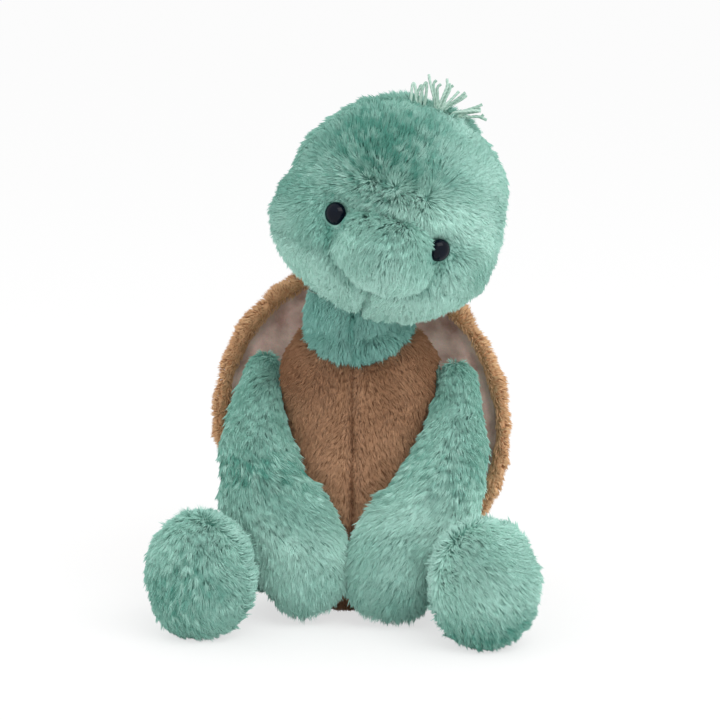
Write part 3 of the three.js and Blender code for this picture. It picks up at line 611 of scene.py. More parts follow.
# the tan plush: its roots in painted shade, its tips in painted shade and in painted light
tan = pile_fabric("tan knitted polyester plush", "#85593a", "#cb986f", "#f3d0a4")
cover_points, cover_tris = dish_surface(cover_rows, 74, 216)
if point_normals(cover_points, cover_tris)[-1][1] < 0:
    cover_tris = cover_tris[:, ::-1]
normal = point_normals(cover_points, cover_tris)
cover_points = cover_points + shell_ground(cover_points)[:, None] * normal
panel("shell_cover", "shell_cover", "tan_pile", "torso", cover_points, cover_tris, tan, shell_nap,
      cover_length, cover_amount, 61, width=0.26, shade=cover_painted_light)


def lining_folds(radius, around):
    """The lining's soft folds, radial and growing outwards, and the tuck beside the rim, as
    millimetres towards the back."""
    share = radius / lining_radius
    folds = 1.5 * share ** 2 * (1 + np.sin(11 * around + 2.2 * np.sin(2 * around) + 3 * share))
    folds += 0.7 * share * (1 + np.sin(19 * around + 6 * share))
    return (folds + tuck_depth * bell(radius - tuck_radius, tuck_width)) * (share < edge_share)


def short_plush():
    """Short shorn polyester plush, taupe, but painted far paler and pinker as painted light for the
    shade it lies in: matt with a velvet edge, the nap rubbed into soft paler and darker patches 14 mm
    wide, partly painted light and shade of its sheen, and a fine grain 0.7 mm wide, coarser than the
    real nap."""
    material, tree, shader = finish("shorn taupe polyester plush", 0.88, 0.15, 0.4)
    patch_size, grain_size = 14.3, 0.667
    place = add(tree, "ShaderNodeTexCoord").outputs["Object"]
    rubbed_and_lit = add(tree, "ShaderNodeTexNoise", inputs={
        "Vector": place, "Scale": 1000 / patch_size, "Detail": 5})
    grain = add(tree, "ShaderNodeTexNoise", inputs={
        "Vector": place, "Scale": 1000 / grain_size, "Detail": 2})
    # taupe lightened with painted light; its rubbed patches carry painted light and shade
    tint = add(tree, "ShaderNodeValToRGB", inputs={"Fac": rubbed_and_lit.outputs["Fac"]},
               stops=((0.32, "#c2988c"), (0.64, "#ffdcd0")))
    fleck = add(tree, "ShaderNodeMix", {"data_type": "RGBA", "blend_type": "MULTIPLY"}, {
        "Factor": 0.35, "A": tint.outputs["Color"], "B": grain.outputs["Color"]})
    dent = add(tree, "ShaderNodeBump", inputs={
        "Height": grain.outputs["Fac"], "Strength": 0.5, "Distance": 0.0004})
    tree.links.new(fleck.outputs["Result"], shader.inputs["Base Color"])
    tree.links.new(dent.outputs["Normal"], shader.inputs["Normal"])
    return material


share = np.linspace(0, 1, 8)
lining_rows = np.stack([share * lining_radius, -lining_crown * (1 - share ** 2)], axis=1)
lining_points, lining_tris = dish_surface(lining_rows, 70, 216, lining_folds)
if point_normals(lining_points, lining_tris)[-1][1] > 0:
    lining_tris = lining_tris[:, ::-1]
lining = make_mesh("shell_lining_cloth", lining_points, lining_tris, short_plush())
wall = lining.modifiers.new("Cloth", "SOLIDIFY")
wall.thickness, wall.offset = lining_thickness * 0.001, -1
place_piece(lining, "shell_lining", "torso")
pad_points, pad_tris = dish_surface(pad_rows, 50, 96)
stuffing("shell_pad", "shell_wadding", "torso", pad_points,
         outward(pad_points, pad_tris), fibre)

# The neck: a short plug of the bib's green fabric in two panels, stuffed, whose round top the
# head is sewn over by hand with strong thread that the pile hides.
neck_pivot, neck_radius, neck_seam_rise = np.array([0.0, -12.0, 168.0]), 28.5, 9.0
neck_rows = np.array([       # radius, and height from the pivot, of the cloth
    [0.0, -13.5], [14.0, -13.5], [24.5, -13.2], [27.2, -11.5], [27.3, -6.0], [27.3, 0.0],
    [26.8, 5.0], [25.6, 10.0], [23.7, 14.2], [21.8, 16.6], [12.0, 17.0], [0.0, 17.0],
])
neck_core_rows = np.array([  # the same of its filling, which goes on up into the head
    [0.0, -12.0], [14.0, -12.0], [20.0, -11.0], [21.8, -6.0], [22.0, 2.0], [21.6, 9.0],
    [20.4, 13.0], [19.0, 17.8], [17.5, 21.0], [12.0, 25.2], [0.0, 27.6],
])
neck_pile, neck_pile_under_head, neck_pile_top = 7.5, 2.0, 184.5
neck_density, neck_back_density = 3.8, 0.9
thread_half_thickness, thread_off_ball = 0.36, 0.7


def turned(rows, place, rings, spokes):
    """A closed surface turned about the upright through a place, from rows of radius and height
    whose first and last lie on the axis."""
    rows = smooth(rows, even(rows, rings + 2, lambda r: r))
    around = full_turn(spokes)
    r, h = rows[1:-1, :1], rows[1:-1, 1:]
    p = np.stack(np.broadcast_arrays(r * np.cos(around), r * np.sin(around), h), -1)
    p = np.vstack([p.reshape(-1, 3), [[0, 0, rows[0, 1]]], [[0, 0, rows[-1, 1]]]]) + place
    return p, outward(p, skin_faces(rings, spokes))


def sewing_thread():
    """Bonded polyester thread in the pile's green: a slight sheen, and the bands of its twist in
    painted light and shade, drawn 2 mm apart so that they show."""
    return patterned("green bonded polyester thread", (0.6, 0.4), "ShaderNodeTexWave", 2,
                     "#557267", "#7fa295", {"bands_direction": "DIAGONAL"}, {"Distortion": 1.0})


def thread_ring(name, node, body, place, axis, ball, along):
    """A ring of seam thread 0.7 mm thick: a torus on a ball, this far along its axis, whose
    thickness swells and shrinks with the thread's twist."""
    axis = unit(np.asarray(axis, dtype=float))
    side = unit(np.cross(axis, [0.3, 0.9, 0.2]))
    other = np.cross(axis, side)
    radius = math.sqrt((ball + thread_off_ball) ** 2 - along ** 2)
    rings, sides = 96, 8
    u, v = np.meshgrid(full_turn(rings), full_turn(sides), indexing="ij")
    out = np.cos(u)[..., None] * side + np.sin(u)[..., None] * other
    thick = (thread_half_thickness * (1 + 0.15 * np.sin(2 * v + 30 * u)))[..., None]
    p = (np.asarray(place) + axis * along + out * radius
         + thick * (np.cos(v)[..., None] * out + np.sin(v)[..., None] * axis))
    i, j = np.meshgrid(np.arange(rings), np.arange(sides), indexing="ij")
    here, above, k = i * sides, (i + 1) % rings * sides, (j + 1) % sides
    quads = np.stack([here + j, here + k, above + k, above + j], -1).reshape(-1, 4)
    made = make_mesh(name, p.reshape(-1, 3), quads[:, ::-1], thread_green)
    place_piece(made, node, body)


def neck_length(p):
    """Neck pile of 7.5 mm, shorter under the head, and none on the part inside it."""
    long = neck_pile - 0.4 * np.clip(p[:, 2] - neck_pivot[2], 0, None)
    return np.clip(long, neck_pile_under_head, neck_pile) * (p[:, 2] < neck_pile_top)


def neck_amount(p):
    """Strands for each square millimetre, most in front."""
    return np.where(p[:, 1] < neck_pivot[1], neck_density, neck_back_density)


thread_green = sewing_thread()
neck_points, neck_tris = turned(neck_rows, neck_pivot, 60, 96)
middle = neck_points[neck_tris].mean(axis=1)
for side, mask, seed in (("left", middle[:, 0] < 0, 71), ("right", middle[:, 0] >= 0, 75)):
    panel(f"neck_{side}", f"neck_{side}_panel", "bib_pile", "neck", neck_points, neck_tris[mask],
          bib_green, downward, neck_length, neck_amount, seed, shade=bib_painted_shade, width=0.132)
core_points, core_tris = turned(neck_core_rows, neck_pivot, 40, 60)
stuffing("neck_stuffing", "neck_filling", "neck", core_points, core_tris, fibre)
thread_ring("neck_thread_ring", "neck_seam_thread", "neck_thread", neck_pivot, (0, 0, 1),
            neck_radius, neck_seam_rise)

# The head: a big ball of pile fabric with two cheeks and a blunt muzzle, tilted to the viewer's
# right on the neck. Six panels: forehead, muzzle, two halves of the jaw and two of the back,
# sewn inside out and turned, so every seam is a crease with the pile falling over it.
head_tilt, head_turn = math.radians(19.3), math.radians(10.0)
head_centre = np.array([-0.3, -13.5, 58.0])
skull = np.array([58.5, 58.0, 59.5])
muzzle, muzzle_place = np.array([29.5, 31.0, 19.0]), np.array([-2.0, -38.0, -20.0])
jowl, jowl_spread, jowl_place = np.array([36.5, 36.0, 32.0]), 23.0, np.array([-3.5, -11.0, -15.5])
face_seam_forward, jaw_seam_drop, muzzle_seam_forward, jaw_split = 10.0, 28.0, 34.0, -1.5
neck_hole_radius, head_swell, head_stuffing_inset = 31.5, 0.7, 7.4
eye_places = {"left": (-33.4, -8.7), "right": (23.6, -8.7)}
eye_dimple, eye_dimple_width, eye_clearing = 2.8, 9.0, 7.4
# the middle of the crown's patch, where the pile stands up and painted shade darkens it
dark_patch = np.array([-22.0, -46.0, 29.0])
brow_height, brow_left, brow_right, brow_width, brow_margin = 15.0, -28.0, 8.0, 7.0, 6.0
face_front = -30.0               # what lies before this, across the head, is face and not cheek
head_pile, crown_pile_cut, crown_upright = 6.9, 1.5, 28.0
face_density, parting_density, head_back_density = 4.4, 3.6, 0.85
head_axes = (
    np.array([[math.cos(head_turn), -math.sin(head_turn), 0],
              [math.sin(head_turn), math.cos(head_turn), 0], [0, 0, 1]])
    @ np.array([[math.cos(head_tilt), 0, math.sin(head_tilt)], [0, 1, 0],
                [-math.sin(head_tilt), 0, math.cos(head_tilt)]])
)


def head_to_row(p):
    """Points measured from the head's own middle, carried to where the tilted head holds them."""
    return neck_pivot + (p + head_centre) @ head_axes.T


def row_to_head(p):
    """The way back, from the row frame to the head's own middle."""
    return (p - neck_pivot) @ head_axes - head_centre


def on_skull(x, z):
    """The front of the skull's ellipsoid at this place across and up."""
    return np.array([x, -skull[1] * math.sqrt(1 - (x / skull[0]) ** 2 - (z / skull[2]) ** 2), z])


def reach(way, half, place=(0.0, 0.0, 0.0)):
    """How far a ray from the middle runs before it leaves an ellipsoid of these half sizes set at
    a place: the larger root of the ray's quadratic, or nothing where it misses."""
    way, place = way / half, np.asarray(place) / half
    a = (way ** 2).sum(-1)
    b = way @ place
    root = b * b - a * ((place ** 2).sum() - 1)
    return np.where(root > 0, (b + np.sqrt(np.maximum(root, 0))) / a, 0.0)


def muzzle_oval(p):
    """1 on the oval of the muzzle's seam, less inside it."""
    off = (p - muzzle_place) / muzzle
    return np.hypot(off[:, 0], off[:, 2])


def seam_crease(p):
    """How deep each seam draws a point of the head in: the face seam over the crown, the jaw's and
    its middle one, the muzzle's, deepest below and at its sides, and the one up the back."""
    x, y, z = p.T
    oval = muzzle_oval(p)
    low, muzzle_radius = held((-z - 10) / 12), 22
    on_face, near_muzzle = y < -face_seam_forward, y < -muzzle_seam_forward + 4
    crease = [1.4 * bell(y + face_seam_forward, 2.4),
              1.0 * bell(z + jaw_seam_drop, 2.4) * (on_face & (oval > 1)),
              3.4 * low * bell((oval - 1) * muzzle_radius, 2.6) * near_muzzle,
              3.2 * bell(x - jaw_split, 2.8) * (on_face & (oval > 1) & (z < -jaw_seam_drop)),
              1.2 * bell(x, 2.4) * ~on_face]
    return np.max(crease, axis=0)


def soft_most(reaches, soft):
    """A soft maximum: the log of summed exponentials, taken about 60 mm to keep them small."""
    return soft * np.log(sum(np.exp((k - 60) / soft) for k in reaches)) + 60


def head_surface(way, inset):
    """The head's cloth along directions from its middle: a soft maximum of the reaches of the
    skull and the two cheeks, and then of the muzzle, softer at the bridge between the eyes, less
    the inset, the creases and the eyes' dimples."""
    cheeks = [reach(way, jowl, jowl_place + [side * jowl_spread, 0, 0]) for side in (-1, 1)]
    r = soft_most([reach(way, skull), *cheeks], 3.0)
    bridge = 3 + 10 * held((way[:, 2] * 60 + 20) / 16)
    nose = reach(way, muzzle, muzzle_place)
    r = np.where(nose > 0, soft_most([r, nose], bridge), r) - inset
    p = way * r[:, None]
    r = r - seam_crease(p) + head_swell * wander(p, 34, 5)
    for place in eye_places.values():
        r -= eye_dimple * bell(away(p, on_skull(*place)), eye_dimple_width)
    return way * r[:, None]


def ball_ways(rings, spokes):
    """Unit directions on rings about the upright, then the two poles."""
    down = np.pi * np.arange(1, rings + 1) / (rings + 1)
    a, b = np.meshgrid(down, full_turn(spokes), indexing="ij")
    way = np.stack([np.sin(a) * np.cos(b), np.sin(a) * np.sin(b), np.cos(a)], axis=-1)
    return np.vstack([way.reshape(-1, 3), [[0, 0, 1]], [[0, 0, -1]]]), skin_faces(rings, spokes)


def brow_line(q):
    """1 at the height of the parting on the brow, falling off above and below."""
    return bell(q[:, 2] - brow_height, brow_width)


def parting(q):
    """How near a point of the head lies to the parting on the brow, at most 1."""
    middle, half = (brow_left + brow_right) / 2, (brow_right - brow_left) / 2 + brow_margin
    return (q[:, 1] < face_front) * brow_line(q) * (np.abs(q[:, 0] - middle) < half)


def crown_share(q, out=1.3, width=34):
    """1 on the dark patch of the crown, falling to nothing around it."""
    return held(out - away(q, dark_patch) / width)


def head_nap(p):
    """On the face the nap runs outwards from a parting on the brow: up over the crown, out over
    the cheeks and down the muzzle. Behind the crown seam it runs back and down."""
    q = row_to_head(p)
    part = np.stack([np.clip(q[:, 0], brow_left, brow_right), np.full(len(q), -56.0),
                     np.full(len(q), brow_height)], axis=1)
    front = (q - part) * [1, 0.6, 1]
    front[:, 0] += 4 * brow_line(q) * wander(q, 18, 82)
    behind = np.stack([0.3 * q[:, 0], np.full(len(q), 20.0), -30 - 0.8 * np.abs(q[:, 2])], axis=1)
    way = np.where((q[:, 1] < -face_seam_forward)[:, None], front, behind)
    return unit(way, 13) @ head_axes.T


def head_length(p):
    """Pile of 7 mm, 5 mm on the crown, shorter in the seams, and none close around the eyes. That
    clearing is narrower outside and below them, and wider towards the muzzle, whose pile lies
    over it."""
    q = row_to_head(p)
    long = head_pile - crown_pile_cut * crown_share(q) - 0.5 * seam_crease(q)
    for place in eye_places.values():
        outwards = (q[:, 0] - place[0]) * np.sign(place[0])
        narrower = 1.1 * held((outwards - q[:, 2] + place[1]) / 9) - 1.3 * held(-outwards / 5)
        far = away(q, on_skull(*place)) - eye_clearing + narrower
        long = np.where(far < 0, 0, long * np.clip(0.4 + far / 13, 0.4, 1))
    return long


def head_density(p):
    """Strands for each square millimetre: most on the face, and more still at its parting."""
    q = row_to_head(p)
    return np.where(q[:, 1] < -2, face_density + parting_density * parting(q), head_back_density)


def head_upright(p):
    """The pile over the crown stands 28 degrees steeper, so that one looks into it."""
    return crown_upright * crown_share(row_to_head(p))


def head_painted_light(p):
    """Painted light and shade on the head's pile. The crown's fur is darker and mottled with painted
    shade, and so are the seams, the top of the muzzle and the fur beside the eyes and on the left
    cheek, away from the lamp. The brow, the muzzle, the jaw and the right side are paler with
    painted light."""
    q = row_to_head(p)
    x, y, z = q.T
    on_face, oval = y < face_front, muzzle_oval(q)
    jaw = 0.34 * held((-z - 14) / 22)
    right = 0.14 * held((x + 2) / 40) + 0.06 * held((z + 5) / 20) * held((x - 5) / 25)
    snout = on_face * (0.10 * (oval < 1) - 0.1 * (oval < 1.15) * bell(z + 6, 7))
    brow = 0.3 * on_face * bell(z - 8, 11) + 0.14 * parting(q)
    left_cheek = 0.16 * held((-x - 22) / 20) * bell(z + 8, 16)
    eyes = sum(bell(away(q, on_skull(*place)), 9) for place in eye_places.values())
    mottle = 0.34 * np.minimum(wander(q, 4, 77), 0.3) + 0.22 * wander(q, 9, 81)
    return (crown_share(q, 1.25, 38) * (mottle - 0.34) + jaw + right + snout + brow - left_cheek
            - 0.09 * seam_crease(q) - 0.26 * eyes)


way, head_tris = ball_ways(116, 170)
head_local = head_surface(way, backing_inset)
head_tris = outward(head_local, head_tris)
middle = head_local[head_tris].mean(axis=1)
head_points = head_to_row(head_local)
clear_of_neck = away(middle + head_centre, (0, 0, 0)) > neck_hole_radius
x, y, z = middle.T
on_muzzle = (y < -muzzle_seam_forward) & (muzzle_oval(middle) < 1)
on_face = y < -face_seam_forward
forehead = on_face & ~on_muzzle & (z >= -jaw_seam_drop)
jaw = on_face & ~on_muzzle & (z < -jaw_seam_drop)
for k, (part, slot, mask) in enumerate((
        ("forehead", "crown_pile", forehead), ("muzzle", "green_pile", on_muzzle),
        ("jaw_left", "green_pile", jaw & (x < jaw_split)),
        ("jaw_right", "green_pile", jaw & (x >= jaw_split)),
        ("back_left", "crown_pile", ~on_face & (x < 0)),
        ("back_right", "crown_pile", ~on_face & (x >= 0)))):
    panel(f"head_{part}", f"head_{part}_panel", slot, "head", head_points,
          head_tris[mask & clear_of_neck], green, head_nap, head_length, head_density, 100 + 10 * k,
          width=0.2 if "back" in part else 0.125, upright=head_upright, shade=head_painted_light)
way, faces = ball_ways(60, 80)
inner = head_surface(way, head_stuffing_inset) + head_centre
inner = pressed(inner, np.zeros(3), neck_radius + head_stuffing_inset)
stuffing("head_stuffing", "head_filling", "head", neck_pivot + inner @ head_axes.T,
         outward(inner, faces), fibre)

# The eyes: two 12 mm safety eyes, near-black navy acrylic domes polished in the mould, on shanks
# that go through the cloth. A white washer is pushed on each shank behind it.
eye_radius, eye_rise, shank_radius, shank_length = 6.2, 5.0, 2.25, 10.0
eye_sink, eye_lift = 1.6, 1.2    # how deep the solid's eye sits, and how far out this one is moved
eye_back_rows = np.array([   # radius, and height from the dome's edge, round to the shank's end
    [5.9, -0.35], [5.2, -0.5], [shank_radius + 0.1, -0.5], [shank_radius, -1.2],
    [shank_radius, -6.0], [shank_radius - 0.3, -8.6], [1.2, -shank_length], [0.0, -shank_length],
])


def polished_acrylic():
    """Moulded acrylic, near-black navy and mirror smooth, with the soft marbling of the tinted
    resin 5 mm across and the refraction of acrylic."""
    material = patterned("polished navy acrylic", (0.05, 0.14), "ShaderNodeTexNoise", 5,
                         "#04080f", "#0a1220", inputs={"Detail": 2})
    material.node_tree.nodes["Principled BSDF"].inputs["IOR"].default_value = 1.49
    return material


def moulded_polypropylene():
    """The lock washer's white polypropylene: satin, faintly mottled every 2.5 mm where it cooled
    in the mould."""
    return patterned("moulded white polypropylene", (0.42, 0.5), "ShaderNodeTexNoise", 2.5,
                     "#dcdcd6", "#ecece8", inputs={"Detail": 2})


def frame_on(normal):
    """Three unit columns, the last along a direction, for placing a turned piece."""
    up = unit(np.asarray(normal, dtype=float))
    side = unit(np.cross([0.0, 0.0, 1.0] if abs(up[2]) < 0.9 else [0.0, 1.0, 0.0], up))
    return np.stack([side, np.cross(up, side), up], axis=1)


acrylic, polypropylene = polished_acrylic(), moulded_polypropylene()
rise = np.linspace(0, np.pi / 2, 9)[::-1]
dome = np.stack([eye_radius * np.cos(rise), eye_rise * np.sin(rise)], axis=1)
eye_rows = np.vstack([dome, eye_back_rows])
for side, place in eye_places.items():
    seat = on_skull(*place)
    basis = frame_on(seat / skull ** 2)
    points, faces = turned(eye_rows, np.zeros(3), 64, 56)
    points = head_to_row(seat + (points + [0, 0, eye_lift - eye_sink]) @ basis.T)
    eye = make_mesh(f"safety_eye_{side}", points, outward(points - points.mean(axis=0), faces), acrylic)
    place_piece(eye, f"eye_{side}", "head")
    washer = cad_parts[f"eye_washer_{side}"]
    for slot in washer.material_slots:
        slot.material = polypropylene

# The hair: strands of soft two-ply yarn, pale sage, caught in the crown seam in three tufts. The
# left tuft is left as loops, and the others are cut to single strands that fan and curl.
yarn_length, yarn_radius, loop_radius, yarn_twist = 17.0, 0.74, 0.82, 2.4
tuft_width, tuft_root_depth = 6.5, 2.5
hair_tufts = (               # which, place across, strands, lean and fan in radians, and if looped
    ("left", -8.5, 3, -0.22, 0.20, True),
    ("middle", 3.5, 9, 0.02, 0.12, False),
    ("right", 13.0, 6, 0.74, 0.06, False),
)


def two_ply_yarn():
    """Soft acrylic yarn, pale sage: matt fuzzy fibres, with painted shade darker in the groove
    between the plies.
    """
    material, tree, shader = finish("two-ply sage acrylic yarn", 0.9, 0.15, 0.3)
    place = add(tree, "ShaderNodeUVMap", {"uv_map": "OFBake"})
    parts = add(tree, "ShaderNodeSeparateXYZ", inputs={"Vector": place.outputs["UV"]})
    tint = add(tree, "ShaderNodeValToRGB", inputs={"Fac": parts.outputs["X"]},
               stops=((0, "#769d8c"), (1, "#cae3d7")))
    tree.links.new(tint.outputs["Color"], shader.inputs["Base Color"])
    return material


def yarn_strand(path, radius, seed):
    """One strand along a path of points: at each, an outline with two low lobes, one for each
    ply, which pass a place every 2.4 mm. Returns points, faces and map coordinates."""
    steps, sides = 34, 8
    p = smooth(path, np.linspace(0, len(path) - 1, steps))
    tangent = unit(np.gradient(p, axis=0))
    side = unit(np.cross(tangent, [0.2, 1.0, 0.1]))
    other = np.cross(tangent, side)
    travel = np.concatenate([[0], np.cumsum(np.linalg.norm(np.diff(p, axis=0), axis=1))])
    share, angle = travel / travel[-1], full_turn(sides)
    lobe = np.cos(2 * angle[None, :] - 2 * np.pi * travel[:, None] / yarn_twist + seed)
    r = radius * (1 + 0.08 * lobe) * np.clip(0.86 + share * 0.2, 0, 1.05)[:, None]
    u, v = np.cos(angle)[None, :, None], np.sin(angle)[None, :, None]
    ring = p[:, None, :] + r[..., None] * (u * side[:, None, :] + v * other[:, None, :])
    points = np.vstack([ring.reshape(-1, 3), p[:1], p[-1:]])
    # across the map: painted shade in the groove between the plies, and each strand's own tone
    shade = np.concatenate([(0.5 + 0.14 * lobe + 0.2 * np.cos(5 * seed)).ravel(), [0.4, 0.8]])
    high = np.concatenate([np.repeat(share, sides), [0, 1]])
    uv = np.stack([np.clip(shade, 0.02, 0.98), high * 0.96 + 0.02], 1)
    return points, outward(points - points.mean(axis=0), skin_faces(steps, sides)), uv


def crown_seam_at(x):
    """The place on the crown seam this far across, and the skull's upward direction there."""
    off = 1 - (x / skull[0]) ** 2 - (face_seam_forward / skull[1]) ** 2
    root = np.array([x, -face_seam_forward, skull[2] * math.sqrt(off)])
    return root, unit(np.array([x / skull[0] ** 2, 0, root[2] / skull[2] ** 2]))


yarn = two_ply_yarn()
rng = np.random.default_rng(8)
for word, place, count, lean, fan, looped in hair_tufts:
    root, up = crown_seam_at(place)
    right = np.array([up[2], 0, -up[0]])
    strands, total = [], 0
    for k in range(count):
        order = k - (count - 1) / 2
        start = (root + right * order * tuft_width / count - up * tuft_root_depth
                 + [0, rng.uniform(-0.6, 0.6), 0])
        angle = lean + order * fan + rng.normal(0, 0.05)
        tall = yarn_length * rng.uniform(0.82, 1.08)
        bow = np.array([0, rng.uniform(-2.6, 2.6), 0]) + right * rng.normal(0, 1.1)
        aim = math.sin(angle) * right + math.cos(angle) * up
        if looped:
            width = 2.4 + rng.uniform(0, 0.8)
            q = np.linspace(0, np.pi, 7)[:, None]
            loop = (start + up * (2 + tall * 0.62 * np.sin(q) ** 0.8) - right * width * np.cos(q) / 2
                    + (aim * 1.5 + bow * 0.5) * np.sin(q))
            path = np.array([start, *loop, start + right * width * 0.4])
        else:
            curl = right * rng.normal(0, 1.5)
            path = start + np.array([0 * up, up * 4 + aim, up * 3.5 + aim * tall * 0.45 + bow * 0.6,
                                     up * 3 + aim * tall * 0.75 + bow,
                                     up * 2 + aim * tall + bow * 1.2 + curl])
        points, faces, uv = yarn_strand(path, loop_radius if looped else yarn_radius, 1.7 * k)
        strands.append((points, faces + total, uv))
        total += len(points)
    points, faces, uv = (np.vstack(part) for part in zip(*strands))
    tuft = make_mesh(f"yarn_tuft_{word}", head_to_row(points), faces, yarn, uv)
    place_piece(tuft, f"hair_tuft_{word}", "head")

# The arms: two stuffed tubes sewn on at the shoulders, narrow there and swelling to round paws,
# bent forward so that they lie down the belly with the paws together between the feet.
arm_in, arm_reach, arm_end, arm_top_drop = 33.0, 54.0, 7.5, 1.0
arm_spine_shares = np.array([          # of the way in, of the reach and of the drop
    [0.07, -0.10, -0.075], [0.06, 0.00, 0.000], [0.04, 0.22, 0.120], [0.06, 0.51, 0.260],
    [0.20, 0.73, 0.395], [0.40, 0.87, 0.535], [0.82, 0.95, 0.680], [0.96, 0.99, 0.830],
    [1.00, 1.00, 1.000],
])
arm_sections = np.array([              # row of the spine, half width and half thickness in millimetres
    [0.0, 0.0, 0.0], [0.12, 5.0, 5.5], [0.45, 8.6, 10.5], [1.0, 10.6, 13.0], [2.0, 13.2, 13.8],
    [3.0, 18.0, 14.6], [4.0, 21.8, 15.2], [5.0, 25.2, 15.5], [6.0, 24.8, 15.3], [7.0, 23.8, 14.8],
    [7.6, 18.6, 12.0], [7.9, 9.4, 6.6], [8.0, 0.0, 0.0],
])
mean_row_length = 14.0                 # of the spine, in millimetres
arm_swell, limb_stuffing_inset, arm_pile, arm_front_density, arm_back_density = 0.6, 6.4, 7.3, 3.8, 1.0
arm_ring_ball, arm_ring_along = 13.5, 12.0


def oval_tube(centre, tangent, side, other, half, spokes):
    """A stuffed tube of ovals, each with its middle, two directions and two half sizes, and a
    point just past each end that closes it."""
    angle = full_turn(spokes)[None, :, None]
    p = (centre[:, None] + half[:, :1, None] * np.cos(angle) * side[:, None]
         + half[:, 1:, None] * np.sin(angle) * other[:, None])
    ends = [centre[:1] - tangent[:1] * 0.3, centre[-1:] + tangent[-1:] * 0.3]
    p = np.vstack([p.reshape(-1, 3), *ends])
    return p, outward(p - p.mean(axis=0), skin_faces(len(centre), spokes))


def arm_surface(spine, inset, rings, spokes):
    """Ovals square to the arm's smooth spine, whose half sizes follow the sections, each drawn in
    by the inset."""
    along_and_out = [mean_row_length, 1, 1]
    rows = smooth(arm_sections, even(arm_sections, rings + 2, lambda r: r * along_and_out)[1:-1])
    fine = np.linspace(0, len(spine) - 1, 400)
    curve = smooth(spine, fine)
    slope = np.gradient(curve, axis=0)
    at = np.clip(rows[:, 0], 0, len(spine) - 1)
    centre, tangent = (np.stack([np.interp(at, fine, line[:, k]) for k in range(3)], axis=1)
                       for line in (curve, slope))
    tangent = unit(tangent)
    side = unit(square_to(np.array([1.0, 0, 0]), tangent))
    half = np.maximum(rows[:, 1:] - inset, 0.4)
    return oval_tube(centre, tangent, side, np.cross(tangent, side), half, spokes)


for side, sign in (("left", -1), ("right", 1)):
    arm, pivot = f"arm_{side}", shoulder_pivots[side]
    drop = shoulder_pivots["left"][2] - arm_top_drop - arm_end
    spine = pivot + arm_spine_shares * [-sign * arm_in, -arm_reach, -drop]
    fine_spine = smooth(spine, np.linspace(0, len(spine) - 1, 60))
    flow = unit(np.gradient(fine_spine, axis=0))
    # where the painted light on each paw is brightest, in millimetres up
    paw_painted_light_height = 42 if sign < 0 else 66

    def arm_nap(p):
        """Along the arm to the paw, fanned to both sides of its middle, more so at the paw."""
        own = nearest(fine_spine, p)
        fan = (0.022 + 0.012 * own / 60)[:, None]
        return flow[own] + fan * square_to(p - fine_spine[own], flow[own])

    def arm_length(p):
        """Arm pile of 7 mm with longer tufts halfway down, shorter at the shoulder, its top, the
        side that lies on the body there, and the floor."""
        x, y, z = p.T
        tufts = 1 + 0.12 * bell(z - 85, 16)
        inside = np.clip(np.max([(np.abs(x) - 44) / 6, (118 - z) / 8, (-y - 14) / 6], axis=0), 0.6, 1)
        return arm_pile * tufts * inside * np.clip((144 - z) / 14, 0.6, 1) * held(0.75 + z / 12)

    def arm_painted_light(p):
        """Painted light and shade: darker and mottled halfway down, where the pile parts, darker at the
        top, paler at the paw."""
        z = p[:, 2]
        parted = bell(z - 86, 13) * (-0.12 + 0.25 * wander(p, 6, 78))
        return parted + 0.26 * bell(z - paw_painted_light_height, 24) - 0.1 * held((z - 100) / 20)

    def arm_upright(p):
        """Steeper in the middle of the body, where the paws press together."""
        return 26 * bell(p[:, 0], 5)

    points, tris = arm_surface(spine, backing_inset, 110, 84)
    normal = point_normals(points, tris)
    points = points + (arm_swell * wander(points, 30, 41))[:, None] * normal
    seam_normal, seam_place = np.array([0, drop, -arm_reach]), pivot + [0, -9, 0]
    back = (points[tris].mean(axis=1) - seam_place) @ seam_normal > 0
    for k, (word, mask, amount, width) in enumerate((
            ("front", ~back, arm_front_density, 0.132), ("back", back, arm_back_density, 0.22))):
        panel(f"{arm}_{word}", f"{arm}_{word}_panel", "green_pile", arm, points, tris[mask], green,
              arm_nap, arm_length, lambda p: np.full(len(p), amount), 200 + 10 * k + 30 * (sign > 0),
              upright=arm_upright, shade=arm_painted_light, stray=0.12, gather=0.2, lean=(60, 83),
              unrest=0.8, width=width)
    inner, faces = arm_surface(spine, limb_stuffing_inset, 60, 48)
    stuffing(f"{arm}_stuffing", f"{arm}_filling", arm, inner, faces, fibre)
    thread_ring(f"{arm}_thread_ring", f"{arm}_seam_thread", f"{arm}_thread", pivot, (-sign, 0, 0),
                arm_ring_ball, arm_ring_along)

# The legs: short stuffed tubes sewn on at the hips and lying level on the floor, each ending in a
# big round foot with a domed sole sewn on around its edge. They splay apart to either side.
leg_splay, leg_length, sole_seam = math.radians(20), 71.0, 4.0
foot_half_height, foot_half_length, foot_height = 34.0, 23.5, 33.5
leg_rows = np.array([                  # millimetres along, half width, half height, middle's height
    [-15.6, 0.0, 0.0, 24.0], [-13.0, 8.4, 8.4, 24.0], [-6.0, 14.4, 14.4, 24.0],
    [2.0, 15.6, 15.6, 24.0], [14.0, 13.4, 13.8, 24.2], [26.0, 11.8, 12.0, 26.5],
    [38.0, 12.8, 13.6, 29.5], [47.5, 18.5, 21.5, 32.5], [55.0, 23.6, 28.4, 33.5],
    [63.0, 27.2, 32.8, 33.5], [71.0, 28.2, 34.0, 33.5], [79.0, 26.8, 32.4, 33.5],
    [86.5, 21.8, 26.4, 33.5], [91.8, 14.2, 17.2, 33.5], [94.2, 6.0, 7.4, 33.5],
    [94.6, 0.0, 0.0, 33.5],
])
fan_places = {"left": (26.0, 62.0), "right": (-60.0, 46.0)}     # across and up from the sole's middle
fan_turns = {"left": 0.5, "right": -0.25}     # how much of the nap there runs round that place
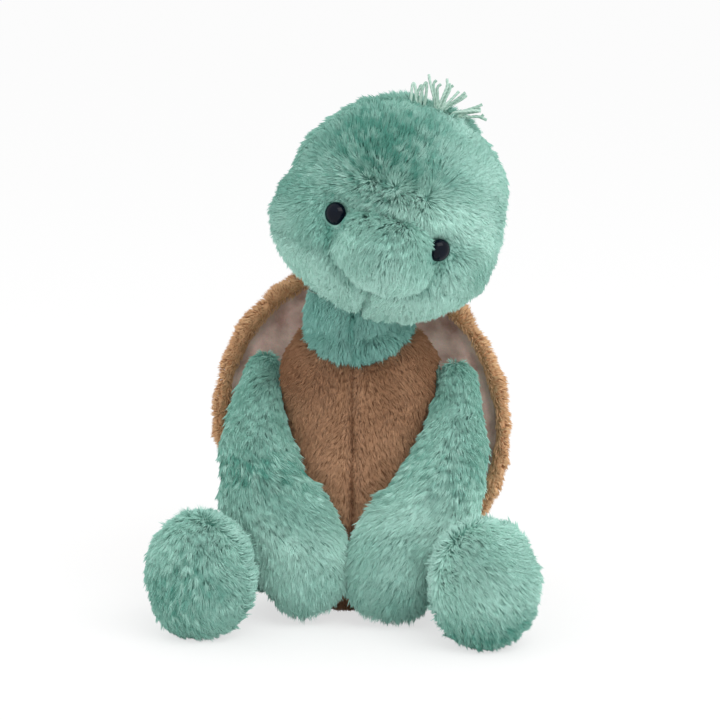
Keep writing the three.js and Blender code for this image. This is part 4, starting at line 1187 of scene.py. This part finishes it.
leg_swell, leg_pile, sole_crease, sole_crease_width, leg_off_floor = 0.6, 7.0, 0.9, 2.2, 0.8
ankle, ankle_width = 44.0, 8.0         # where the nap turns back, along the leg from the hip
hip_ring_ball, hip_ring_along = 16.0, 8.0


def leg_surface(ahead, across, pivot, inset, rings, spokes):
    """Ovals square to the leg's level axis, whose half sizes and height follow the rows, each
    drawn in by the inset, and flattened where the floor meets them."""
    rows = smooth(leg_rows, even(leg_rows, rings + 2, lambda r: r[:, :3])[1:-1])
    along = np.clip(rows[:, 0], leg_rows[0, 0] + inset, leg_rows[-1, 0] - inset)
    up = np.broadcast_to([0, 0, 1.0], (rings, 3))
    centre = pivot * [1, 1, 0] + along[:, None] * ahead + rows[:, 3:] * up
    ahead, across = np.broadcast_to(ahead, (rings, 3)), np.broadcast_to(across, (rings, 3))
    p, tris = oval_tube(centre, ahead, across, up, np.maximum(rows[:, 1:3] - inset, 0.4), spokes)
    p[:, 2] = np.maximum(p[:, 2], inset - 0.4)
    return p, tris


for side, sign in (("left", -1), ("right", 1)):
    leg, pivot = f"leg_{side}", hip_pivots[side]
    ahead = np.array([sign * math.sin(leg_splay), -math.cos(leg_splay), 0.0])
    across = np.array([math.cos(leg_splay), sign * math.sin(leg_splay), 0.0])
    sole_middle = pivot * [1, 1, 0] + (leg_length + foot_half_length) * ahead + [0, 0, foot_height]
    fan_place = sole_middle + fan_places[side][0] * across + [0, 0, fan_places[side][1]]

    def leg_nap(p):
        """Forwards over the leg as far as the ankle, back over the foot, and across the sole in a
        fan from a place above it, forwards over the sole's near edge and back over its far one."""
        off, far = p - fan_place, ((p - pivot) @ ahead)[:, None]
        round_it = np.cross(np.broadcast_to(ahead, off.shape), off)
        on_sole = held((far - leg_length - sole_seam + 2) / 4)
        flat = unit(off - (off @ ahead)[:, None] * ahead + fan_turns[side] * round_it, 1)
        over = ((p - sole_middle) * flat).sum(1, keepdims=True) / foot_half_height
        forward = 1 - 2 * held((far - ankle) / ankle_width)
        return (flat - over * ahead) * on_sole + ahead * forward * (1 - on_sole)

    def leg_pile_length(p):
        """Leg pile of 7 mm, short on the hip's ball and where the floor presses it."""
        return leg_pile * np.clip(((p - pivot) @ ahead + 7) / 10, 0.3, 1) * held(0.3 + p[:, 2] / 10)

    def leg_painted_light(p):
        """Painted light and shade: the left sole is dark and mottled in its middle; the right one, nearer
        the lamp, is pale, and dark and mottled low down, by the floor."""
        near, low = bell(away(p, sole_middle), 24), held((30 - p[:, 2]) / 24)
        mottle = 0.3 * wander(p, 5, 79)
        if sign < 0:
            return 0.12 - 0.3 * near - 0.06 * low + mottle * near
        return 0.26 - 0.7 * low + mottle * low

    points, tris = leg_surface(ahead, across, pivot, backing_inset, 96, 92)
    normal = point_normals(points, tris)
    crease = sole_crease * bell((points - pivot) @ ahead - leg_length - sole_seam, sole_crease_width)
    points = points - (crease - leg_swell * wander(points, 26, 51))[:, None] * normal
    points[:, 2] = np.maximum(points[:, 2], leg_off_floor)
    middle = points[tris].mean(axis=1)
    on_sole = (middle - pivot) @ ahead > leg_length + sole_seam
    high = middle[:, 2] >= pivot[2]
    for k, (word, node, mask, amount, width) in enumerate((
            ("sole", "sole", on_sole, 4.0, 0.132), ("top", "top_panel", ~on_sole & high, 2.1, 0.17),
            ("under", "under_panel", ~on_sole & ~high, 0.7, 0.17))):
        panel(f"{leg}_{word}", f"{leg}_{node}", "green_pile", leg, points, tris[mask], green, leg_nap,
              leg_pile_length, lambda p: np.full(len(p), amount), 300 + 10 * k + 40 * (sign > 0),
              shade=leg_painted_light, stray=0.12, lean=(58, 82), width=width)
    inner, faces = leg_surface(ahead, across, pivot, limb_stuffing_inset, 50, 48)
    stuffing(f"{leg}_stuffing", f"{leg}_filling", leg, inner, faces, fibre)
    thread_ring(f"{leg}_thread_ring", f"{leg}_seam_thread", f"{leg}_thread", pivot,
                pivot * [-1, -1, 0], hip_ring_ball, hip_ring_along)

# The studio: a plain white floor that runs out of sight, soft even light from a white room, and
# one broad lamp high on the right, with the camera a little above the toy and to its right.
# Lengths here are in metres.
floor_reach, floor_white_share, room_strength = 40, 0.66, 0.95
lamp_place, lamp_aim, lamp_width, lamp_height, lamp_power = (0.85, -1.1, 1.55), (0, 0, 0.14), 1.6, 1.1, 16
camera_place, camera_aim = (0.1549, -1.2703, 0.3609), (-0.0011, 0.0004, 0.1352)
film_width, focal_length = 36, 116.07         # in millimetres


def seen_directly(tree):
    """1 on rays from the camera, and on those that reach it by a mirror or through glass."""
    ray = add(tree, "ShaderNodeLightPath")
    direct = ray.outputs["Is Camera Ray"]
    for kind in ("Is Glossy Ray", "Is Transmission Ray"):
        direct = add(tree, "ShaderNodeMath", {"operation": "MAXIMUM"}, {
            0: direct, 1: ray.outputs[kind]}).outputs["Value"]
    return direct


def studio_paper():
    """Matt white paper, part of whose white is its own where it is seen directly, so that it stays
    white and keeps the toy's shadow."""
    material, tree, shader = finish("white studio paper", 0.9, 0.0)
    shader.inputs["Base Color"].default_value = linear("#fbfbfb")
    white = add(tree, "ShaderNodeEmission", inputs={"Color": (1, 1, 1, 1), "Strength": 1.0})
    share = add(tree, "ShaderNodeMath", {"operation": "MULTIPLY"}, {
        0: seen_directly(tree), 1: floor_white_share})
    blend = add(tree, "ShaderNodeMixShader", inputs={
        "Fac": share.outputs["Value"], 1: shader.outputs["BSDF"], 2: white.outputs["Emission"]})
    tree.links.new(blend.outputs["Shader"], tree.nodes["Material Output"].inputs["Surface"])
    return material


def aimed(name, data, place, aim):
    """A lamp or camera at a place, turned to look at another."""
    made = bpy.data.objects.new(name, data)
    made.location = place
    made.rotation_euler = (Vector(aim) - made.location).to_track_quat("-Z", "Y").to_euler()
    bpy.context.collection.objects.link(made)
    return made


corners = floor_reach * np.array([[-1, -1, 0], [1, -1, 0], [1, 1, 0], [-1, 1, 0]])
floor_mesh = bpy.data.meshes.new("floor")
floor_mesh.from_pydata(corners.tolist(), [], [(0, 1, 2, 3)])
floor = bpy.data.objects.new("floor", floor_mesh)
bpy.context.collection.objects.link(floor)
floor_mesh.materials.append(studio_paper())

world = bpy.data.worlds.new("white room")
world.use_nodes = True
bpy.context.scene.world = world
room = world.node_tree
room_light = room.nodes["Background"]
room_light.inputs["Color"].default_value = (1, 1, 1, 1)
room_light.inputs["Strength"].default_value = room_strength
seen = add(room, "ShaderNodeBackground", inputs={"Color": (1, 1, 1, 1), "Strength": 1.0})
choose = add(room, "ShaderNodeMixShader", inputs={
    "Fac": seen_directly(room), 1: room_light.outputs["Background"], 2: seen.outputs["Background"]})
room.links.new(choose.outputs["Shader"], room.nodes["World Output"].inputs["Surface"])

lamp = bpy.data.lights.new("broad lamp", "AREA")
lamp.shape, lamp.size, lamp.size_y, lamp.energy = "RECTANGLE", lamp_width, lamp_height, lamp_power
aimed("broad lamp", lamp, lamp_place, lamp_aim)
lens = bpy.data.cameras.new("camera")
lens.sensor_width, lens.lens = film_width, focal_length
bpy.context.scene.camera = aimed("camera", lens, camera_place, camera_aim)
bpy.context.scene.view_settings.view_transform = "Standard"
